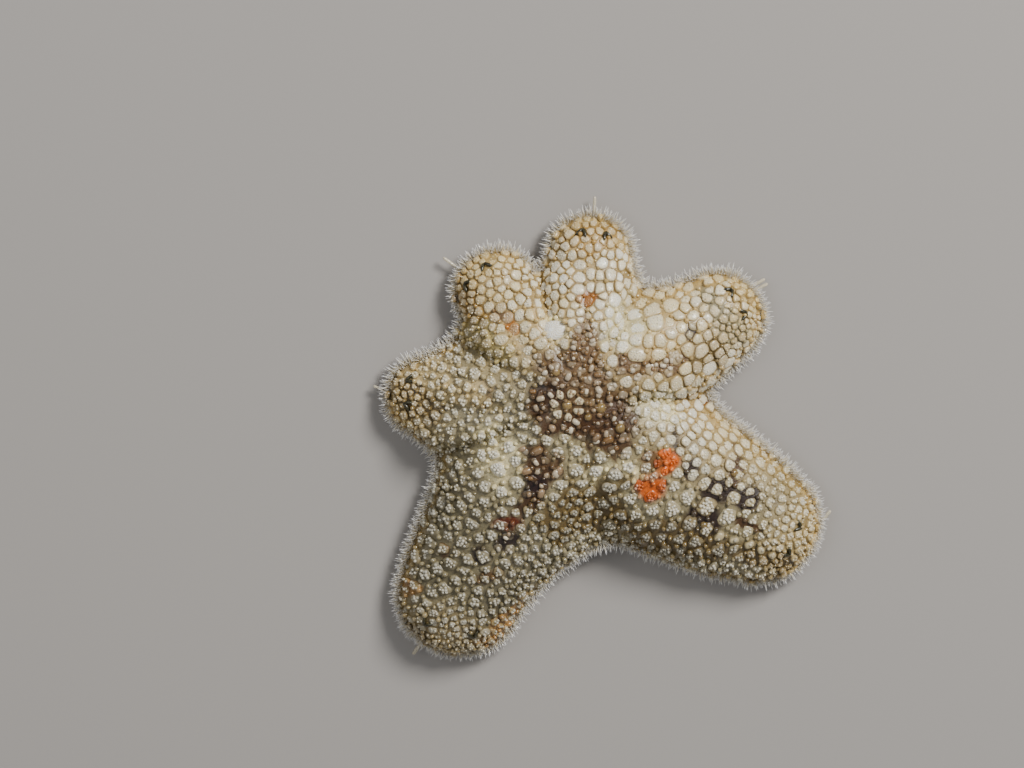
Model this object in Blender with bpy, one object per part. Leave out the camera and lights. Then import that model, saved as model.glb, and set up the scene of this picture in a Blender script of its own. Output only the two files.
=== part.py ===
"""A small six-armed cushion star, Aquilonastra burtoni, at life size, lying on the floor on its oral side.

Three long arms are the old half of the animal and three short ones have grown back after it split.
The whole star is modelled as one body, its plates, fringe spines and tube feet are fused to it, and thin
cuts then part it into the disc and the six arms. Sizes are in millimetres until a mesh is made.
"""

import math
import random

import bmesh
import bpy
import numpy as np
from mathutils import Matrix, Vector

MM = 0.001  # the scene is in metres

# The disc's centre, which puts the middle of the whole star's box at the origin
CENTRE = (-1.633, 2.993)

# The body
DISC_HEIGHT = 4.4
EDGE_HEIGHT = 0.75  # the level where the body is widest
CREST = (2.3, 1.8)  # roundness across an arm, flat on top and steep at the edge
VALLEY = (1.7, 1.4)  # roundness down the line between two arms
TURN = 0.45  # the share of an arm's side over which a valley turns into a crest
CREST_LEAD = 1.6  # how fast the lines across an arm swing square to it

# Each arm: name, direction in degrees, reach, radius of the tip, height at the tip's centre, sideways bend,
# taper in degrees, and how far its outline runs straight out of a notch and into the tip, as shares of the side
ARMS = (
    ("arm_upper_right", 23.4, 10.05, 2.25, 2.6, -0.75, 10.0, 0.16, 0.41),
    ("arm_top", 82.4, 8.35, 1.95, 2.35, -0.5, 6.0, 0.31, 0.36),
    ("arm_upper_left", 129.8, 7.85, 2.0, 2.35, 0.5, 0.0, 0.20, 0.35),
    ("arm_left", 187.3, 9.2, 1.9, 2.2, 0.75, 25.0, 0.32, 0.20),
    ("arm_lower_left", 243.5, 15.65, 3.0, 2.9, -0.65, 7.0, 0.16, 0.41),
    ("arm_lower_right", 321.3, 14.95, 2.95, 2.9, -1.25, 21.0, 0.16, 0.50),
)
# Each notch, after the arm of the same row: direction in degrees, radius, lift of the edge off the floor
NOTCHES = (
    (53.4, 5.87, 0.0),
    (107.3, 5.75, 0.0),
    (158.5, 6.1, 0.0),
    (210.3, 7.78, 0.0),
    (281.8, 8.5, 0.7),
    (354.0, 6.8, 0.0),
)

# The oral side, from the edge inwards: share of the half width, height, both before the furrow's own depth
UNDERSIDE = ((0.985, 0.36), (0.945, 0.08), (0.90, 0.0), (0.72, 0.0), (0.50, 0.12), (0.28, 0.2))
FURROW = ((0.17, 0.8), (0.0, 1.0))
FURROW_HEIGHT = 3.0  # an arm lower than this has a shallower furrow

# The mesh of the plain body
SIDE_STEPS, TIP_STEPS, TOP_STEPS = 7, 4, 6

# The plates of the upper side
PLATE_PITCH = 1.24
ROW_SPACING = 0.87  # of the pitch
PLATE_ROOM, FILL_ROOM = 0.84, 0.9  # the least distance between plates in rows and in the fill, of the pitch
PLATE_FILL = 0.80  # width over pitch
PLATE_RISE = 0.36
PLATE_ROOT = 0.30
PLATE_SIDES = 6
PLATE_EDGE_ROOM = 0.60  # from the last row to the edge
TIP_CROWDING = 0.80  # plates at a tip are this much of the full pitch apart

# The fringe of spines round the edge
SPINE_PITCH = 0.86
SPINE_THICKNESS = 0.56
SPINE_LENGTH = 0.70
SPINE_ROOT = 0.45
SPINE_SIDES = 4
SPINE_RISES = (24.0, 4.0)  # degrees above level, in turn along the edge
SPINE_CLEARANCE = 0.36  # of a spine's tip from the line between two arms

# The tube feet, in two rows along each furrow
FOOT_PITCH = 1.15
FOOT_OFFSET = 0.36
FOOT_THICKNESS = 0.50
FOOT_TOP = 1.25
FOOT_SIDES = 5
FOOT_START = 2.6  # from the mouth's centre

# The sieve plate, between the top arm and the upper left one, and the ring of jaws in the mouth
SIEVE_RADIUS, SIEVE_HEIGHT, SIEVE_RISE = 0.5, 0.9, 0.32
SIEVE_PLACE = (102.5, 3.46)  # direction in degrees and distance from the disc's centre
JAW_RING_RADIUS, JAW_RING_BORE, JAW_TIP_RADIUS = 1.15, 0.85, 0.36
JAW_BOTTOM, JAW_TOP = 0.12, 0.72
JAW_HALF_ANGLE = 15.0

GAP = 0.3  # between nodes that touch
DISC_SHARE = 0.88  # how far the disc's corners reach towards the notches
FAR = 30.0
SEED = 11

COLOURS = {  # base colour, roughness
    "arm": ((0.74, 0.69, 0.52, 1.0), 0.45),
    "disc": ((0.66, 0.60, 0.46, 1.0), 0.45),
    "sieve": ((0.84, 0.82, 0.72, 1.0), 0.5),
    "jaws": ((0.78, 0.72, 0.55, 1.0), 0.5),
}


def polar(degrees, radius):
    angle = math.radians(degrees)
    return np.array([math.cos(angle), math.sin(angle)]) * radius


def ease(value):
    """0 to 1 with level ends."""
    value = np.clip(value, 0.0, 1.0)
    return value * value * (3.0 - 2.0 * value)


def bezier(points, t):
    """A curve of any degree through its first and last control points."""
    rows = [np.asarray(p, float)[None, :] + 0.0 * t[:, None] for p in points]
    while len(rows) > 1:
        rows = [a + (b - a) * t[:, None] for a, b in zip(rows, rows[1:])]
    return rows[0]


class HalfArm:
    """One side of an arm, from the notch to the tip: a line on the arm's crest and one on its outline."""

    def __init__(self, arm, notch, side):
        _, degrees, reach, tip_radius, tip_height, bend, taper, root_round, tip_round = arm
        notch_degrees, notch_radius, self.lift = notch
        self.tip_radius, self.tip_height, self.side = tip_radius, tip_height, side
        self.tip_centre = polar(degrees, reach - tip_radius)
        across = polar(degrees + 90.0, 1.0)
        self.control = self.tip_centre / 2.0 + across * bend
        self.along = self.tip_centre - self.control
        self.along /= np.linalg.norm(self.along)
        self.outward = np.array([-self.along[1], self.along[0]]) * side
        self.notch = polar(notch_degrees, notch_radius)
        self.taper = math.radians(taper)
        lean = np.array([math.cos(self.taper), math.sin(self.taper)])
        shoulder = self.tip_centre + (self.outward * lean[0] + self.along * lean[1]) * tip_radius
        span = np.linalg.norm(shoulder - self.notch)
        leave = polar(notch_degrees - 90.0 * side, root_round * span)
        arrive = (self.along * lean[0] - self.outward * lean[1]) * tip_round * span
        self.outline = (self.notch, self.notch + leave, shoulder - arrive, shoulder)

    def lines(self, u):
        """Crest point, outline point, height of the crest and of the edge, and valley share, at u from 0 to 2.
        The arm's side is from 0 to 1 and the tip's arc from 1 to 2."""
        t = np.clip(u, 0.0, 1.0)
        edge = bezier(self.outline, t)
        turn = ease(t / TURN)
        share = 1.0 - (1.0 - t) ** CREST_LEAD
        crest = bezier((np.zeros(2), self.control, self.tip_centre), share)
        angle = self.taper + np.clip(u - 1.0, 0.0, 1.0) * (math.pi / 2.0 - self.taper)
        arc = np.cos(angle)[:, None] * self.outward + np.sin(angle)[:, None] * self.along
        edge = np.where((u > 1.0)[:, None], self.tip_centre + arc * self.tip_radius, edge)
        height = self.tip_height + (DISC_HEIGHT - self.tip_height) * (1.0 - share**1.8)
        lift = self.lift * np.clip(1.0 - t / 0.8, 0.0, 1.0) ** 2
        return crest, edge, height, EDGE_HEIGHT + lift, 1.0 - turn

    def top(self, u, v):
        """Points of the upper side: v is 0 on the crest and 1 on the outline. Shape (len(u), len(v), 3)."""
        crest, edge, height, low, valley = (a[:, None] for a in self.lines(u))
        wide = CREST[0] + (VALLEY[0] - CREST[0]) * valley
        tall = CREST[1] + (VALLEY[1] - CREST[1]) * valley
        angle = v[None, :] * math.pi / 2.0
        out = np.sin(angle) ** (2.0 / wide)
        rise = np.maximum(np.cos(angle), 0.0) ** (2.0 / tall)
        flat = crest + (edge - crest) * out[:, :, None]
        return np.dstack((flat, low + (height - low) * rise))

    def bottom(self, u):
        """Points of the oral side, from just under the outline to the furrow's middle."""
        crest, edge, height, low, _ = self.lines(u)
        lift = (low - EDGE_HEIGHT)[:, None]
        depth = np.minimum(height / FURROW_HEIGHT, 1.0)[:, None]
        shares = np.array([row[0] for row in UNDERSIDE + FURROW])
        level = np.array([row[1] for row in UNDERSIDE])[None, :] + lift * shares[None, : len(UNDERSIDE)]
        roof = np.array([row[1] for row in FURROW])[None, :] * depth
        flat = crest[:, None] + (edge - crest)[:, None] * shares[None, :, None]
        return np.dstack((flat, np.hstack((level, roof))))


def half_arms():
    """Both sides of every arm, in order round the disc. Side -1 meets the notch before the arm."""
    return [
        HalfArm(arm, NOTCHES[i - 1 if side < 0 else i], side)
        for i, arm in enumerate(ARMS)
        for side in (-1, 1)
    ]


def placed(point):
    """A point measured from the disc's centre, in millimetres, as a scene position."""
    return Vector((point[0] + CENTRE[0], point[1] + CENTRE[1], point[2])) * MM


def collection(name, shown=True):
    made = bpy.data.collections.new(name)
    bpy.context.scene.collection.children.link(made)
    made.hide_render = not shown
    return made


def material(name):
    colour, roughness = COLOURS[name]
    made = bpy.data.materials.new(name)
    made.use_nodes = True
    shader = made.node_tree.nodes["Principled BSDF"]
    shader.inputs["Base Color"].default_value = colour
    shader.inputs["Roughness"].default_value = roughness
    return made


def object_from(name, bm, holder):
    """A named mesh object from a bmesh, with its normals pointing out."""
    bmesh.ops.recalc_face_normals(bm, faces=bm.faces)
    mesh = bpy.data.meshes.new(name)
    bm.to_mesh(mesh)
    bm.free()
    made = bpy.data.objects.new(name, mesh)
    holder.objects.link(made)
    return made


def plain_body(holder):
    """The star without plates, spines or feet: a loft from the crests and the mouth out to the edge and back."""
    u = np.concatenate((np.linspace(0.0, 1.0, SIDE_STEPS + 1), 1.0 + np.linspace(0.0, 1.0, TIP_STEPS + 1)[1:]))
    v = np.linspace(0.0, 1.0, TOP_STEPS + 1)
    bm = bmesh.new()
    for half in half_arms():
        grid = np.concatenate((half.top(u, v), half.bottom(u)), axis=1)
        rows = [[bm.verts.new(placed(p)) for p in column] for column in grid]
        for near, far in zip(rows, rows[1:]):
            for k in range(len(near) - 1):
                bm.faces.new((near[k], near[k + 1], far[k + 1], far[k]))
    bmesh.ops.remove_doubles(bm, verts=bm.verts, dist=1e-6)
    bmesh.ops.dissolve_degenerate(bm, edges=bm.edges, dist=1e-6)
    bmesh.ops.triangulate(bm, faces=bm.faces)
    return object_from("star", bm, holder)


def upper_grid(half, across, down):
    """Points of one side's top, their outward normals, and the length from the crest down to each."""
    grid = half.top(np.linspace(0.0, 2.0, across), np.linspace(0.0, 1.0, down))
    normals = np.cross(np.gradient(grid, axis=0), np.gradient(grid, axis=1)) * half.side
    normals /= np.linalg.norm(normals, axis=2, keepdims=True) + 1e-12
    steps = np.linalg.norm(np.diff(grid, axis=1), axis=2)
    reach = np.concatenate((np.zeros((across, 1)), np.cumsum(steps, axis=1)), axis=1)
    return grid, normals, reach


def plate_sizes(across):
    """Size of a plate at each station along an arm's side, smaller at the tip."""
    return 1.0 + (TIP_CROWDING - 1.0) * ease((np.linspace(0.0, 2.0, across) - 0.5) / 1.0)


def row_places(half, first_row):
    """Places in staggered rows, side by side from the crest down to the edge, each (row, point, normal, size)."""
    across, down = 161, 41
    grid, normals, reach = upper_grid(half, across, down)
    sizes = plate_sizes(across)
    found = []
    for row in range(first_row, 20):
        far = row * PLATE_PITCH * ROW_SPACING * sizes
        inside = np.nonzero(far < reach[:, -1] - PLATE_EDGE_ROOM)[0]
        if len(inside) < 2:
            break
        line, facings = [], []
        for i in inside:
            n = min(np.searchsorted(reach[i], far[i], side="right") - 1, down - 2)
            share = (far[i] - reach[i, n]) / (reach[i, n + 1] - reach[i, n])
            line.append(grid[i, n] + (grid[i, n + 1] - grid[i, n]) * share)
            facings.append(normals[i, n + 1])
        line, facings = np.array(line), np.array(facings)
        steps = np.linalg.norm(np.diff(line, axis=0), axis=1) / sizes[inside[1:]]
        length = np.concatenate(([0.0], np.cumsum(steps)))
        count = max(1, round(length[-1] / PLATE_PITCH))
        stagger = row % 2
        for k in range(count + 1 - stagger):
            along = (k + 0.5 * stagger) * length[-1] / count
            at = np.array([np.interp(along, length, line[:, axis]) for axis in range(3)])
            facing = np.array([np.interp(along, length, facings[:, axis]) for axis in range(3)])
            found.append((row, at, facing, np.interp(along, length, sizes[inside])))
    return found


def fill_places(half):
    """Places all over one side's top, for plates where the rows leave a hole."""
    across, down = 61, 31
    grid, normals, reach = upper_grid(half, across, down)
    sizes = plate_sizes(across)
    inside = np.argwhere(reach < reach[:, -1:] - PLATE_EDGE_ROOM)
    return [(grid[i, n], normals[i, n], sizes[i]) for i, n in inside if n > 0]


def plate_places(draw):
    """Places of the plates: (point, normal, size). The crests' rows come first, and none crowds another."""
    halves = half_arms()
    rows = sorted((spot for half in halves for spot in row_places(half, int(half.side > 0))), key=lambda spot: spot[0])
    fill = [spot for half in halves for spot in fill_places(half)]
    draw.shuffle(fill)
    kept, points = [], np.zeros((0, 3))
    for spots, share in (([spot[1:] for spot in rows], PLATE_ROOM), (fill, FILL_ROOM)):
        for at, facing, size in spots:
            if np.all(np.linalg.norm(points - at, axis=1) > share * PLATE_PITCH * size):
                kept.append((at, facing / np.linalg.norm(facing), size))
                points = np.vstack((points, at))
    return kept


def standing(at, facing, spin=0.0):
    """The matrix that stands a piece made along +Z on a place, facing the given way."""
    turn = Vector(facing).to_track_quat("Z", "Y").to_matrix().to_4x4()
    return Matrix.Translation(placed(at)) @ turn @ Matrix.Rotation(spin, 4, "Z")


def add_rings(bm, rings, sides, matrix):
    """A closed turned piece: rings of (radius, height) in millimetres, with a point where the radius is 0."""
    rows = []
    for radius, height in rings:
        count = sides if radius > 0.0 else 1
        row = []
        for k in range(count):
            flat = polar(360.0 * k / sides, radius)
            row.append(bm.verts.new(matrix @ (Vector((flat[0], flat[1], height)) * MM)))
        rows.append(row)
    for low, high in zip(rows, rows[1:]):
        for k in range(sides):
            corners = [low[k % len(low)], low[(k + 1) % len(low)], high[(k + 1) % len(high)], high[k % len(high)]]
            bm.faces.new(list(dict.fromkeys(corners)))
    for row in (rows[0], rows[-1]):
        if len(row) > 2:
            bm.faces.new(row)


def plates(holder, draw):
    """The raised plates of the upper side, each a low dome."""
    for number, (at, facing, size) in enumerate(plate_places(draw)):
        if np.linalg.norm(at[:2] - polar(*SIEVE_PLACE)) < SIEVE_RADIUS + GAP + 0.45 * PLATE_PITCH:
            continue
        radius = 0.5 * PLATE_PITCH * PLATE_FILL * size * draw.uniform(0.92, 1.08)
        rise = PLATE_RISE * size * draw.uniform(0.9, 1.1)
        rings = ((radius, -PLATE_ROOT), (radius * 0.9, rise * 0.6), (0.0, rise))
        bm = bmesh.new()
        add_rings(bm, rings, PLATE_SIDES, standing(at, facing, draw.uniform(0.0, 1.0)))
        object_from(f"plate_{number}", bm, holder)


def edge_line(half, pitch):
    """Places along one side's outline, an even pitch apart, each with its outward direction, turned where it
    must be so that what stands there keeps clear of the cut between two arms."""
    u = np.linspace(0.0, 2.0, 241)
    _, edge, _, low, _ = half.lines(u)
    line = np.column_stack((edge, low))
    length = np.concatenate(([0.0], np.cumsum(np.linalg.norm(np.diff(line, axis=0), axis=1))))
    count = max(1, round(length[-1] / pitch))
    ahead = np.gradient(line, axis=0)
    outward = np.column_stack((ahead[:, 1], -ahead[:, 0])) * -half.side
    notch_way = half.notch / np.linalg.norm(half.notch)
    aside = np.array([notch_way[1], -notch_way[0]]) * half.side
    for k in range(count):
        along = (k + 0.5) * length[-1] / count
        at = np.array([np.interp(along, length, line[:, axis]) for axis in range(3)])
        way = np.array([np.interp(along, length, outward[:, axis]) for axis in range(2)])
        way /= np.linalg.norm(way)
        lean = max(way @ aside, (SPINE_CLEARANCE - at[:2] @ aside) / SPINE_LENGTH)
        ahead_of_notch = math.sqrt(max(0.0, 1.0 - lean * lean)) * math.copysign(1.0, way @ notch_way)
        yield at, aside * lean + notch_way * ahead_of_notch


def fringe(holder, draw):
    """The spines round the edge, leaning up and level in turn."""
    for index, half in enumerate(half_arms()):
        for k, (at, way) in enumerate(edge_line(half, SPINE_PITCH)):
            rise = math.radians(SPINE_RISES[k % len(SPINE_RISES)] + draw.uniform(-4.0, 4.0))
            facing = (way[0] * math.cos(rise), way[1] * math.cos(rise), math.sin(rise))
            length = SPINE_LENGTH * draw.uniform(0.88, 1.08)
            radius = SPINE_THICKNESS / 2.0
            bm = bmesh.new()
            rings = ((radius * (1.0 + SPINE_ROOT / length), -SPINE_ROOT), (0.0, length))
            add_rings(bm, rings, SPINE_SIDES, standing(at, facing, draw.uniform(0.0, 1.0)))
            object_from(f"spine_{index}_{k}", bm, holder)


def feet(holder):
    """The tube feet, in two rows along each furrow, down to the floor."""
    radius = FOOT_THICKNESS / 2.0
    corners = disc_corners()
    for i, arm in enumerate(ARMS):
        half = HalfArm(arm, NOTCHES[i], 1)
        chord = (corners[i] - corners[i - 1]) / np.linalg.norm(corners[i] - corners[i - 1])
        share = np.linspace(0.0, 1.0, 101)
        line = bezier((np.zeros(2), half.control, half.tip_centre), share)
        length = np.concatenate(([0.0], np.cumsum(np.linalg.norm(np.diff(line, axis=0), axis=1))))
        ahead = np.gradient(line, axis=0)
        ahead /= np.linalg.norm(ahead, axis=1, keepdims=True)
        for k, along in enumerate(np.arange(FOOT_START, length[-1] + 0.2, FOOT_PITCH)):
            at = np.array([np.interp(along, length, line[:, axis]) for axis in range(2)])
            way = np.array([np.interp(along, length, ahead[:, axis]) for axis in range(2)])
            for side in (-1, 1):
                place = at + np.array([-way[1], way[0]]) * side * FOOT_OFFSET
                from_cut = (place - corners[i]) @ np.array([chord[1], -chord[0]])
                if abs(from_cut) < radius + GAP:
                    continue
                bm = bmesh.new()
                rings = ((radius, 0.0), (radius * 0.8, 0.25), (radius * 0.9, FOOT_TOP))
                matrix = Matrix.Translation(placed((place[0], place[1], 0.0)))
                add_rings(bm, rings, FOOT_SIDES, matrix)
                object_from(f"foot_{arm[0]}_{k}_{side}", bm, holder)


def apply_boolean(target, operation, other=None, group=None):
    """Joins, cuts or crops the target with one object or with a whole collection, for good."""
    tool = target.modifiers.new(operation.lower(), "BOOLEAN")
    tool.operation = operation
    tool.solver = "MANIFOLD"
    if group is None:
        tool.object = other
    else:
        tool.operand_type = "COLLECTION"
        tool.collection = group
    bpy.context.view_layer.update()
    graph = bpy.context.evaluated_depsgraph_get()
    mesh = bpy.data.meshes.new_from_object(target.evaluated_get(graph))
    target.modifiers.clear()
    target.data = mesh


def remove_objects(holder):
    for thing in list(holder.objects):
        bpy.data.objects.remove(thing)
    bpy.data.collections.remove(holder)


def keep_largest(target):
    """Keeps only the largest closed surface of a mesh."""
    bm = bmesh.new()
    bm.from_mesh(target.data)
    left, groups = set(bm.verts), []
    while left:
        group, edge_of_group = set(), [left.pop()]
        while edge_of_group:
            vert = edge_of_group.pop()
            group.add(vert)
            for link in vert.link_edges:
                other = link.other_vert(vert)
                if other in left:
                    left.remove(other)
                    edge_of_group.append(other)
        groups.append(group)
    groups.sort(key=len)
    bmesh.ops.delete(bm, geom=[vert for group in groups[:-1] for vert in group], context="VERTS")
    bm.to_mesh(target.data)
    bm.free()


def prism(name, outline, low, high, holder):
    """A flat outline of points from the disc's centre, stood up between two heights."""
    bm = bmesh.new()
    face = bm.faces.new([bm.verts.new(placed((x, y, low))) for x, y in outline])
    raised = bmesh.ops.extrude_face_region(bm, geom=[face])["geom"]
    top = [item for item in raised if isinstance(item, bmesh.types.BMVert)]
    bmesh.ops.translate(bm, verts=top, vec=Vector((0.0, 0.0, (high - low) * MM)))
    return object_from(name, bm, holder)


def crossing(first, second):
    """Where two lines meet, each given by a point and a direction."""
    (a, along_a), (b, along_b) = first, second
    share = np.linalg.solve(np.column_stack((along_a, -along_b)), b - a)
    return a + along_a * share[0]


def disc_corners():
    return [polar(degrees, radius * DISC_SHARE) for degrees, radius, _ in NOTCHES]


def node_outlines():
    """The outlines of the disc's cutter and of each arm's, a gap apart."""
    corners = disc_corners()
    outlines, disc_sides = {}, []
    for i, arm in enumerate(ARMS):
        before, after = corners[i - 1], corners[i]
        chord = after - before
        out = np.array([chord[1], -chord[0]]) / np.linalg.norm(chord) * GAP / 2.0
        first = (np.array([-before[1], before[0]]) / np.linalg.norm(before) * GAP / 2.0, before)
        last = (np.array([after[1], -after[0]]) / np.linalg.norm(after) * GAP / 2.0, after)
        inner = (before + out, chord)
        far = [side[0] + side[1] / np.linalg.norm(side[1]) * FAR for side in (last, first)]
        outlines[arm[0]] = [crossing(inner, first), crossing(inner, last)] + far
        disc_sides.append((before - out, chord))
    outlines["disc"] = [crossing(a, b) for a, b in zip(disc_sides, disc_sides[1:] + disc_sides[:1])]
    return outlines


def jaws(holder):
    """The ring of jaws in the mouth, with a tooth in line with each notch."""
    outline = []
    for degrees, _, _ in sorted(NOTCHES):
        outline += [
            polar(degrees - JAW_HALF_ANGLE, JAW_RING_BORE),
            polar(degrees, JAW_TIP_RADIUS),
            polar(degrees + JAW_HALF_ANGLE, JAW_RING_BORE),
        ]
    made = prism("jaws_bore", outline, JAW_BOTTOM - 1.0, JAW_TOP + 1.0, holder)
    bm = bmesh.new()
    low, high, radius = JAW_BOTTOM, JAW_TOP, JAW_RING_RADIUS
    add_rings(bm, ((radius - 0.1, low), (radius, low + 0.1), (radius, high)), 24, Matrix.Translation(placed((0, 0, 0))))
    ring = object_from("jaws", bm, holder)
    apply_boolean(ring, "DIFFERENCE", other=made)
    bpy.data.objects.remove(made)
    return ring


def sieve_plate(holder, surface_height):
    """The sieve plate: a low round button with a domed top."""
    place = polar(*SIEVE_PLACE)
    top = surface_height + SIEVE_RISE
    radius = SIEVE_RADIUS
    rings = ((radius, top - SIEVE_HEIGHT), (radius, top - 0.2), (radius * 0.72, top - 0.04), (0.0, top))
    bm = bmesh.new()
    add_rings(bm, rings, 16, Matrix.Translation(placed((place[0], place[1], 0.0))))
    return object_from("sieve_plate", bm, holder)


def pocket(name, place, radius, low, high, holder):
    """A round cutter that leaves the gap round a piece set into the body."""
    bm = bmesh.new()
    add_rings(bm, ((radius, low), (radius, high)), 24, Matrix.Translation(placed((place[0], place[1], 0.0))))
    return object_from(name, bm, holder)


def height_at(place):
    """Height of the plain upper side over a place, from its nearest point."""
    u, v = np.linspace(0.0, 2.0, 201), np.linspace(0.0, 1.0, 81)
    points = np.concatenate([half.top(u, v).reshape(-1, 3) for half in half_arms()])
    return points[np.argmin(np.linalg.norm(points[:, :2] - place, axis=1)), 2]


def shade(thing, look):
    thing.data.materials.clear()
    thing.data.materials.append(look)
    thing.data.shade_smooth()
    thing.data.set_sharp_from_angle(angle=math.radians(40.0))


def main():
    for thing in list(bpy.data.objects):
        bpy.data.objects.remove(thing)
    draw = random.Random(SEED)
    model = collection("aquilonastra_burtoni")
    helpers = collection("helpers", shown=False)

    star = plain_body(helpers)
    growths = collection("growths")
    plates(growths, draw)
    fringe(growths, draw)
    feet(growths)
    apply_boolean(star, "UNION", group=growths)
    remove_objects(growths)
    keep_largest(star)

    sieve_place = polar(*SIEVE_PLACE)
    sieve_level = height_at(sieve_place)
    sieve = sieve_plate(model, sieve_level)
    ring = jaws(model)
    sieve_floor = sieve_level + SIEVE_RISE - SIEVE_HEIGHT - GAP
    cutters = (
        pocket("sieve_pocket", sieve_place, SIEVE_RADIUS + GAP, sieve_floor, FAR, helpers),
        pocket("jaw_pocket", np.zeros(2), JAW_RING_RADIUS + GAP, -1.0, JAW_TOP + GAP, helpers),
    )
    for cutter in cutters:
        apply_boolean(star, "DIFFERENCE", other=cutter)
        bpy.data.objects.remove(cutter)

    looks = {name: material(name) for name in COLOURS}
    for name, outline in node_outlines().items():
        cutter = prism(name + "_cutter", outline, -5.0, 10.0, helpers)
        node = bpy.data.objects.new(name, star.data.copy())
        model.objects.link(node)
        apply_boolean(node, "INTERSECT", other=cutter)
        keep_largest(node)
        bpy.data.objects.remove(cutter)
        shade(node, looks["disc" if name == "disc" else "arm"])
    shade(sieve, looks["sieve"])
    shade(ring, looks["jaws"])
    remove_objects(helpers)


main()
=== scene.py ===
"""The looks of a small six-armed cushion star, Aquilonastra burtoni, lying on a pale floor.

One skin covers the disc and the arms. On it stand the raised plates with their crowns of glassy beads, soft
gill bulbs between the plates, brushes of fine spines round the edge, and on the oral side the plates, the
tube feet, the furrow spines and the jaws. Lengths are in millimetres from the disc's centre until a mesh is
made.
"""

import math
import random

import bmesh
import bpy
import numpy as np
from mathutils import Matrix, Vector
from mathutils.bvhtree import BVHTree

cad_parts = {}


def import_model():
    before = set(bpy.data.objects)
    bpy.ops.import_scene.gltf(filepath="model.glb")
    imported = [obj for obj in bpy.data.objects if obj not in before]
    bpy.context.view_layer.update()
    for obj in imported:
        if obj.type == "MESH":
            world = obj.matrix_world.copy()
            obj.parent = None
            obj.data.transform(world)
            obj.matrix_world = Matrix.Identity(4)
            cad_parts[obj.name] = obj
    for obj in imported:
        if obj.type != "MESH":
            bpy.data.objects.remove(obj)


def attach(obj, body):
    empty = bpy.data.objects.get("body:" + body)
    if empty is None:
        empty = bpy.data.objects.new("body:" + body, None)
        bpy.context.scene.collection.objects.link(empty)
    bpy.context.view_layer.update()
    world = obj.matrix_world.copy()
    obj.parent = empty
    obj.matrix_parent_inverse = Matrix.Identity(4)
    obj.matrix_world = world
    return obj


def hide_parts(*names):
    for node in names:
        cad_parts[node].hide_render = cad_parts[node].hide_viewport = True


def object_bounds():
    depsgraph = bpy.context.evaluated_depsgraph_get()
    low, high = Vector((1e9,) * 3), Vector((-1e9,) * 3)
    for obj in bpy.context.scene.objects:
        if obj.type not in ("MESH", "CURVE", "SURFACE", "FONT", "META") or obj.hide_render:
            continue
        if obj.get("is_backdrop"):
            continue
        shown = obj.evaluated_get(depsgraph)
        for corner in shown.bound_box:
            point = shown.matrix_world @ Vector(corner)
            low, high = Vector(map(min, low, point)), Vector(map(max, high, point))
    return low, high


MM = 0.001

# The camera, and the picture's scale at the level of the star's edge
PICTURE = (1024, 768)
PIXEL = 0.05
CAMERA_TILT = 15.0
CAMERA_DISTANCE = 250.0
DISC_PIXEL = (572, 378)

# The body, as in the solids: the disc's centre, and a rounded section across each arm
CENTRE = (-1.633, 2.993)
DISC_HEIGHT = 4.4
EDGE_HEIGHT = 0.75
CREST = (2.3, 1.8)
VALLEY = (1.7, 1.4)
TURN = 0.45
CREST_LEAD = 1.6

# Each arm: name, direction in degrees, reach, radius of the tip, height at the tip's centre, sideways bend,
# taper in degrees, and how far its outline runs straight out of a notch and into the tip, as shares of its
# side
ARMS = (
    ("arm_upper_right", 23.4, 10.05, 2.25, 2.6, -0.75, 10.0, 0.16, 0.41),
    ("arm_top", 82.4, 8.35, 1.95, 2.35, -0.5, 6.0, 0.31, 0.36),
    ("arm_upper_left", 129.8, 7.85, 2.0, 2.35, 0.5, 0.0, 0.20, 0.35),
    ("arm_left", 187.3, 9.2, 1.9, 2.2, 0.75, 25.0, 0.32, 0.20),
    ("arm_lower_left", 243.5, 15.65, 3.0, 2.9, -0.65, 7.0, 0.16, 0.41),
    ("arm_lower_right", 321.3, 14.95, 2.95, 2.9, -1.25, 21.0, 0.16, 0.50),
)
# Each notch, after the arm of the same row: direction in degrees, radius, lift of the edge off the floor
NOTCHES = (
    (53.4, 5.87, 0.0),
    (107.3, 5.75, 0.0),
    (158.5, 6.1, 0.0),
    (210.3, 7.78, 0.0),
    (281.8, 8.5, 0.7),
    (354.0, 6.8, 0.0),
)
# The underside's section from the edge to the furrow: share of the width and level, with room for spines
# under it
UNDERSIDE = ((0.985, 0.54), (0.945, 0.40), (0.90, 0.34), (0.72, 0.33), (0.50, 0.36), (0.30, 0.44))
FURROW = ((0.19, 0.95), (0.0, 1.2))
SECTION = np.array(((1.0, EDGE_HEIGHT),) + UNDERSIDE + FURROW)
FURROW_HEIGHT = 3.0
SOLE_PITCH, SOLE_SHARES = 0.52, (0.36, 0.955)
FOOT_PITCH, FOOT_SHARE, FIRST_FOOT = 0.66, 0.11, 1.9
MOUTH_ROOM = 1.7
UNDER_GRID = (161, 61)
DOWN = np.array((0.0, 0.0, -1.0))
# The rows of spines along a furrow: share of the half width, kinds of fan, and lean over the furrow
FURROW_ROWS = ((0.305, (0, 1), 0.5), (0.40, (2, 3), 0.1))
FURROW_SPINE_PITCH = 0.50
# The jaws start and end this far from the mouth's middle. Sections: half width, share of the way to the
# mouth, level and half thickness
JAW_START, JAW_END = 2.05, 0.62
JAW_SECTIONS = (
    (0.0, 0.0, 0.42, 0.0), (0.16, 0.06, 0.38, 0.10), (0.25, 0.4, 0.36, 0.22),
    (0.20, 0.75, 0.38, 0.24), (0.11, 0.95, 0.44, 0.16), (0.0, 1.0, 0.5, 0.0),
)
JAW_SIDES = 10

# How far the disc's region reaches, and the patch that a small piece takes on the unwrap
DISC_RADIUS = 4.6
MAP_PATCH = 0.003

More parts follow.
